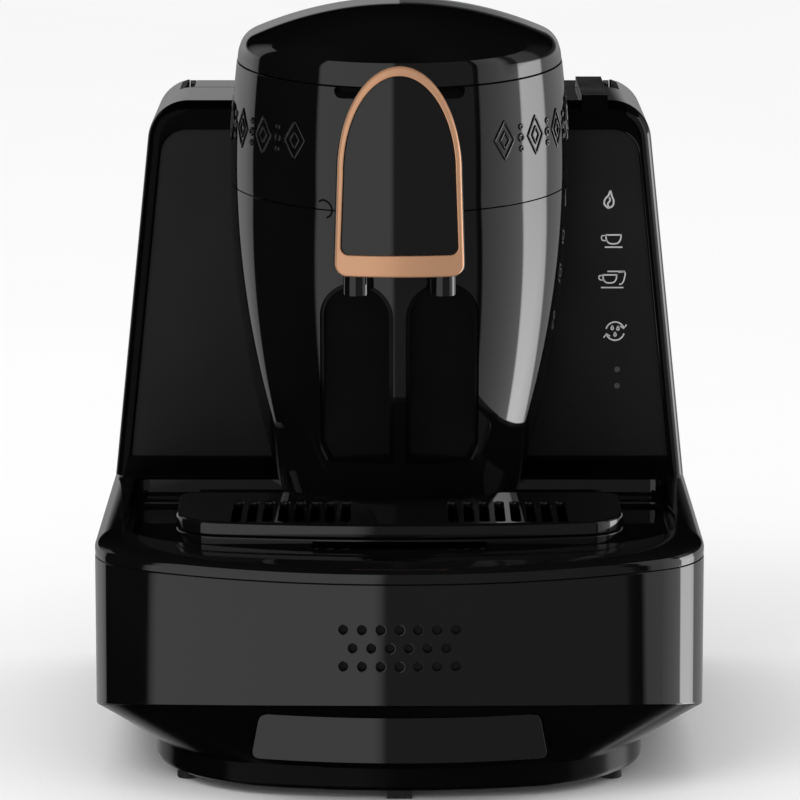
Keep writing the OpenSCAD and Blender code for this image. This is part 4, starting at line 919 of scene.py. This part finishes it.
def rear_housing():
    """Flared wings with a sunk front, hollow from behind, and open for the tank."""
    s, t, b = BORDER_SIDE, BORDER_TOP, PANEL_Z - DECK_Z
    sunk = ((0, 3), (0, 0.7), (0.15, 0.25), (0.6, 0))
    rings = [housing_ring(s - i, t - i, b - i, WING_Y + d) for i, d in sunk]
    rings.append(housing_ring(5.0, 5.0, 1.0, WING_Y))
    rings += [housing_ring(i, i, 0, WING_Y + d) for d, i in rounding(5.0, 9)][1:]
    rings += [housing_ring(0, 0, 0, y) for y in (80, REAR_Y - 0.8)]
    rings += [housing_ring(0.8, 0.8, 0, REAR_Y), housing_ring(WALL, WALL, 0, REAR_Y)]
    rings += [housing_ring(WALL, WALL, 0, y) for y in (100, WING_Y + 5)]
    piece = solid("wings", rings)
    cut(piece, block("bay", -BAY_HW, BAY_HW, BAY_Y, 150, BAY_Z, 270))
    ride(shade(piece), *HOUSING, "rear_housing")
    # Painted shade: front-facing faces, and faces turned partly to the front everywhere but the right
    # wing's edge, take the near-black material so that they mirror nothing
    paint(piece, SHADE_BLACK, lambda centre, normal: normal.y < -0.97 or (normal.y < -0.3 and centre.x < 95))
    # Two lips at the rear close the gap beside the tank
    sides = ((-LIP_HW - 1.2, -LIP_HW), (LIP_HW, LIP_HW + 1.2))
    lips = [block("lip", x0, x1, LIP_Y0, LIP_Y1, 110, 256.6) for x0, x1 in sides]
    ride(join("bay_lips", lips), *HOUSING)


# ---- marks ----

def heading(p, closed=False):
    """Direction of a line at each of its points."""
    d = np.roll(p, -1, 0) - np.roll(p, 1, 0)
    if not closed:
        d[0], d[-1] = p[1] - p[0], p[-1] - p[-2]
    return d / np.linalg.norm(d, axis=1)[:, None]


def stroke(points, width):
    """A printed line of even width through points of x and z on the touch panel."""
    p = np.asarray(points, float)
    d = heading(p)
    side = np.c_[-d[:, 1], d[:, 0]] * width / 2
    y0, y1 = PANEL_Y - PRINT_T, PANEL_Y
    rings = [[(a[0], y0, a[1]), (b[0], y0, b[1]), (b[0], y1, b[1]), (a[0], y1, a[1])]
             for a, b in zip(p + side, p - side)]
    return solid("stroke", rings)


def curve(points, n=24):
    """A smooth line through control points (Catmull-Rom)."""
    p = np.array(points, float)
    p = np.vstack([2 * p[0] - p[1], p, 2 * p[-1] - p[-2]])
    out = []
    for k in range(1, len(p) - 2):
        for t in np.linspace(0, 1, max(3, n // (len(p) - 3)), endpoint=False):
            a, b, c, d = p[k - 1:k + 3]
            out.append(0.5 * ((2 * b) + (c - a) * t + (2 * a - 5 * b + 4 * c - d) * t * t
                              + (3 * b - a - 3 * c + d) * t ** 3))
    out.append(p[-2])
    return np.array(out)


def cup_marks(x, z, w):
    """A small cup with its handle at the left, x and z at the middle of its rim."""
    h = w * 0.56
    bowl = [(-0.5, 0), (-0.46, -0.55), (-0.25, -1), (0.25, -1), (0.46, -0.55), (0.5, 0)]
    ear = [(-0.48, -0.1), (-0.76, -0.12), (-0.74, -0.6), (-0.4, -0.7)]
    bowl, ear = ([(x + a * w, z + b * h) for a, b in line] for line in (bowl, ear))
    rim = [(x - w / 2 - 0.15, z), (x + w / 2 + 0.15, z)]
    return [(curve(bowl, 30), 0.62), (curve(ear, 18), 0.5), (rim, 0.62)]


def flame_marks():
    flame = [(87.6, 210.8), (85.6, 213.0), (85.9, 215.6), (87.7, 217.8), (88.7, 220.2), (89.5, 217.4),
             (90.4, 215.0), (90.0, 212.2), (87.6, 210.8)]
    small = [(88.1 + (x - 88.1) * 0.8, 215 + (z - 215) * 0.78) for x, z in flame]
    tongue = [(88.0, 212.1), (87.5, 213.6), (88.4, 214.9), (88.2, 216.4)]
    return [(curve(small, 48), 0.72), (curve(tongue, 18), 0.66)]


def cleaning_marks():
    """Two turning arrows round three drops."""
    marks = [(arc(91.0, 159.4, 3.9, a0, a0 + 145, 20), 0.62) for a0 in (20, 200)]
    marks += [([(95.8, 162.2), (94.6, 160.5), (93.1, 161.6)], 0.55),
              ([(86.2, 156.6), (87.4, 158.3), (88.9, 157.2)], 0.55)]
    for x, z in ((89.8, 160.6), (92.2, 160.4), (91.0, 157.8)):
        drop = [(x, z + 1.2), (x - 0.5, z), (x, z - 0.6), (x + 0.5, z), (x, z + 1.2)]
        marks.append((curve(drop, 16), 0.5))
    return marks


def icons():
    """Generic keys: flame, one cup, two cups and a cleaning cycle."""
    marks = flame_marks() + cup_marks(90.0, 200.4, 6.4) + [([(86.4, 195.2), (93.8, 195.2)], 0.6)]
    rear_cup = [(92.2, 184.5), (94.9, 184.5), (94.7, 181.8), (93.9, 179.9), (92.6, 179.3)]
    marks += cup_marks(88.6, 183.4, 5.8) + [(curve(rear_cup, 24), 0.55)]
    marks += [([(87.6, 184.9), (95.0, 184.9)], 0.55), ([(84.9, 178.0), (94.4, 178.0)], 0.55)]
    marks += cleaning_marks()
    ride(join("key_icons", [stroke(*mark) for mark in marks]), "housing", "led_lens", ICON)


def on_side(s, z, off):
    """A point on the barrel at arc length s from its front middle, positive to the right."""
    r = float(tower_r(z)) + off
    quarter, sign = math.pi / 2 * TOWER_R, math.copysign(1, s)
    a = abs(s)
    if a <= quarter:
        t = a / TOWER_R
        return (sign * r * math.sin(t), AXIS_F - r * math.cos(t), z)
    if a <= quarter + AXIS_R - AXIS_F:
        return (sign * r, AXIS_F + a - quarter, z)
    t = (a - quarter - AXIS_R + AXIS_F) / TOWER_R
    return (sign * r * math.cos(t), AXIS_R + r * math.sin(t), z)


def bead(path, radius, squash):
    """A round bead along a path on the barrel, closed where the path ends at its start."""
    p = np.asarray(path, float)
    closed = np.allclose(p[0], p[-1])
    p = p[:-1] if closed else p
    out, _ = on_barrel()(p)
    side = np.cross(heading(p, closed), out)
    size = np.full(len(p), radius)
    if not closed:
        size[[0, -1]] *= 0.45
    a = np.radians(np.arange(0, 360, 45))
    rings = [q + (np.outer(np.cos(a), u) + np.outer(np.sin(a), v) * squash) * r
             for q, u, v, r in zip(p, side, out, size)]
    return loft("bead", rings, wrap=True) if closed else solid("bead", rings)


def lozenge(s, z, grow):
    """A closed path round a lozenge on the barrel."""
    h, w = LOZENGE_H * grow, LOZENGE_W * grow
    corners = [(0, h), (w, 0), (0, -h), (-w, 0), (0, h)]
    line = np.vstack([np.linspace(a, b, 8)[:-1] for a, b in zip(corners, corners[1:])] + [corners[:1]])
    return [on_side(s + a, z + b, 0.1) for a, b in line]


def ornament():
    """A plain embossed row of lozenges and dots round the upper barrel, and a hook at the mid seam."""
    paths = []
    for side in (-1, 1):
        for k in range(5):
            s0 = side * (LOZENGE_S + LOZENGE_STEP * k)
            s1 = s0 + side * LOZENGE_STEP / 2
            z0, z1 = (LOZENGE_Z + 0.055 * min(on_side(s, 250, 0)[1], AXIS_F) for s in (s0, s1))
            paths += [lozenge(s0, z0, grow) for grow in (1.0, 0.45)]
            dots = ((1.3, 0), (0.8, 4.4), (0.8, -4.4)) if k < 4 else ()
            for r, up in dots:
                paths.append([on_side(s1 + a, z1 + up + b, 0.1) for a, b in arc(0, 0, r, 0, 360, 14)])
    piece = join("barrel_ornament", [bead(path, 0.58, 0.75) for path in paths])
    ride(shade(piece, 60), *HOUSING)
    # The hook is a raised bead whose near-black colour is painted shade of an engraved groove
    hook = [(-33.6, 228.0), (-31.6, 228.8), (-29.0, 227.7),
            (-27.7, 225.2), (-28.3, 222.9), (-30.2, 221.6)]
    piece = join("seam_mark", [bead([on_side(a, b, 0.0) for a, b in curve(hook, 30)], 0.42, 0.5)])
    ride(shade(piece, 60), "housing", "satin_black", HOOK_GROOVE_SHADE)


# ---- stage ----

def floor():
    """A pale floor, which takes the object's shadow."""
    h = FLOOR_HW
    mesh_piece = new_piece("floor", at_z([(-h, -h), (h, -h), (h, h), (-h, h)], FLOOR_Z), [(0, 1, 2, 3)])
    mat = bpy.data.materials.new("pale_floor")
    mat.use_nodes = True
    tree = mat.node_tree
    shader = tree.nodes["Principled BSDF"]
    shader.inputs["Roughness"].default_value = 0.9
    shader.inputs["Specular IOR Level"].default_value = 0.0
    cloud = noise(tree, add(tree, "TexCoord"), 3.0)
    tint = two_tone(tree, cloud, (0, 1), (0.9,) * 3, (0.93,) * 3)
    link(tree, tint, "Color", shader, "Base Color")
    mesh_piece.data.materials.append(mat)
    mesh_piece.visible_glossy = False


# Brightness of the room round the horizon, by angle from the front: negative is to the left
BANDS = [(-180, 0.45), (-165, 0.7), (-150, 1.1), (-130, 1.05), (-119.5, 0.7), (-119, 0.0), (-58, 0.0),
         (-57.5, 1.05), (-5.0, 1.05), (-2.8, 0.2), (53.2, 0.2), (53.5, 0.0), (56.7, 0.0), (57.0, 0.75),
         (92, 1.5), (93, 6.8), (119, 3.6), (120, 0.9), (150, 1.0), (165, 0.7), (180, 0.45)]
TOP_BAND = 9.0
ROOM_TOP, ROOM_BOTTOM, SPREAD_Z, SPREAD = 34, -50, 0.14, 0.42


def maths(tree):
    """Three functions that add math nodes to a tree and return what comes out of them."""
    def calc(operation, a, b=None, c=None):
        node = add(tree, "Math")
        node.operation = operation
        for slot, value in zip(node.inputs, (a, b, c)):
            if isinstance(value, (int, float)):
                slot.default_value = value
            elif value is not None:
                tree.links.new(value, slot)
        return node.outputs[0]

    def climb(value, low, high):
        """0 below low and 1 above high."""
        slope = 1 / (high - low)
        line = calc("MULTIPLY_ADD", value, slope, -low * slope)
        return calc("MINIMUM", calc("MAXIMUM", line, 0.0), 1.0)

    def less(level, share):
        return calc("MULTIPLY", level, calc("SUBTRACT", 1.0, share))

    return calc, climb, less


def band_level(tree, calc, angle):
    """The brightness that BANDS gives at an angle."""
    ramp = add(tree, "ValToRGB")
    ramp.color_ramp.interpolation = "LINEAR"
    elements = ramp.color_ramp.elements
    for k, (degrees, value) in enumerate(BANDS):
        place = (degrees + 180) / 360
        e = elements[k] if k < 2 else elements.new(place)
        e.position, e.color = place, (value / TOP_BAND,) * 3 + (1,)
    tree.links.new(calc("MULTIPLY_ADD", angle, 1 / (2 * math.pi), 0.5), ramp.inputs["Fac"])
    return calc("MULTIPLY", ramp.outputs["Color"], TOP_BAND)


def room_level(tree):
    """The brightness of the room that the gloss mirrors, by direction."""
    calc, climb, less = maths(tree)
    axes = add(tree, "SeparateXYZ")
    link(tree, add(tree, "TexCoord"), "Generated", axes, 0)
    x, y, z = axes.outputs
    turn = calc("ARCTAN2", x, calc("MULTIPLY", y, -1.0))
    # The panels spread a little towards the floor
    sink = calc("MAXIMUM", calc("SUBTRACT", calc("MULTIPLY", z, -1.0), SPREAD_Z), 0.0)
    panels = band_level(tree, calc, calc("DIVIDE", turn, calc("MULTIPLY_ADD", sink, SPREAD, 1.0)))
    # Nothing shines from high above or from below
    top, bottom = (math.sin(math.radians(a)) for a in (ROOM_TOP, ROOM_BOTTOM))
    lit = calc("MULTIPLY", calc("LESS_THAN", z, top), calc("GREATER_THAN", z, bottom))
    # The rear of the room is darker towards the floor, and black above the height of a wall
    rear = climb(calc("ABSOLUTE", turn), math.radians(114), math.radians(150))
    lit = less(lit, calc("MULTIPLY", rear, calc("MULTIPLY_ADD", climb(z, -0.067, 0.267), -0.5, 0.5)))
    lit = less(lit, calc("MULTIPLY", rear, climb(z, 0.14, 0.19)))
    # The bright panel at the right ends a little above the horizon
    side = climb(turn, math.radians(78), math.radians(86))
    lit = less(lit, calc("MULTIPLY", calc("MULTIPLY", side, climb(z, 0.05, 0.11)), 0.9))
    return calc("MAXIMUM", calc("MULTIPLY", panels, lit), 0.0)


def world():
    """White for the camera, an even level for matt surfaces, and soft upright panels in the gloss."""
    w = bpy.data.worlds.new("studio")
    bpy.context.scene.world = w
    w.use_nodes = True
    w.cycles.sampling_method = "NONE"
    tree = w.node_tree
    tree.nodes.clear()
    path = add(tree, "LightPath")
    calc, _, _ = maths(tree)

    def light():
        node = add(tree, "Background")
        node.inputs["Color"].default_value = (1, 1, 1, 1)
        node.inputs["Strength"].default_value = 1.0
        return node

    def mixed(share, a, b):
        node = add(tree, "MixShader")
        for slot, source in zip(node.inputs, (share, a, b)):
            tree.links.new(source, slot)
        return node.outputs[0]

    even, room, white = light(), light(), light()
    tree.links.new(room_level(tree), room.inputs["Strength"])
    shiny = calc("MAXIMUM", path.outputs["Is Glossy Ray"], path.outputs["Is Transmission Ray"])
    seen = mixed(shiny, even.outputs[0], room.outputs[0])
    seen = mixed(path.outputs["Is Camera Ray"], seen, white.outputs[0])
    tree.links.new(seen, add(tree, "OutputWorld").inputs["Surface"])


def key_lamp():
    """One soft lamp from the front left, which the gloss doesn't mirror."""
    data = bpy.data.lights.new("key", "AREA")
    data.shape, data.size, data.size_y, data.energy = "RECTANGLE", 1.4, 1.0, 14
    lamp = put("key", data)
    place, aim = Vector((-1.2, -1.4, 1.9)), Vector((0, 0, 0.15))
    lamp.location = place
    lamp.rotation_euler = (aim - place).to_track_quat("-Z", "Y").to_euler()
    lamp.visible_glossy = False


def camera():
    """The photograph's view. PIXELS is the focal length in pixels of the picture's PICTURE across."""
    data = bpy.data.cameras.new("camera")
    view = put("camera", data)
    data.sensor_width = SENSOR
    data.lens = PIXELS * SENSOR / PICTURE
    data.clip_end = 20
    view.location = CAMERA_PLACE
    view.rotation_euler = (math.pi / 2 - CAMERA_TILT, 0, 0)
    bpy.context.scene.camera = view


bpy.context.scene.view_settings.view_transform = "Standard"
camera()
dress_nodes()
base_shell()
deck()
bottom_pan()
drip_tray()
cup_grille()
tower_lower()
tower_upper()
dome_lid()
badge()
rear_housing()
icons()
ornament()
floor()
world()
key_lamp()
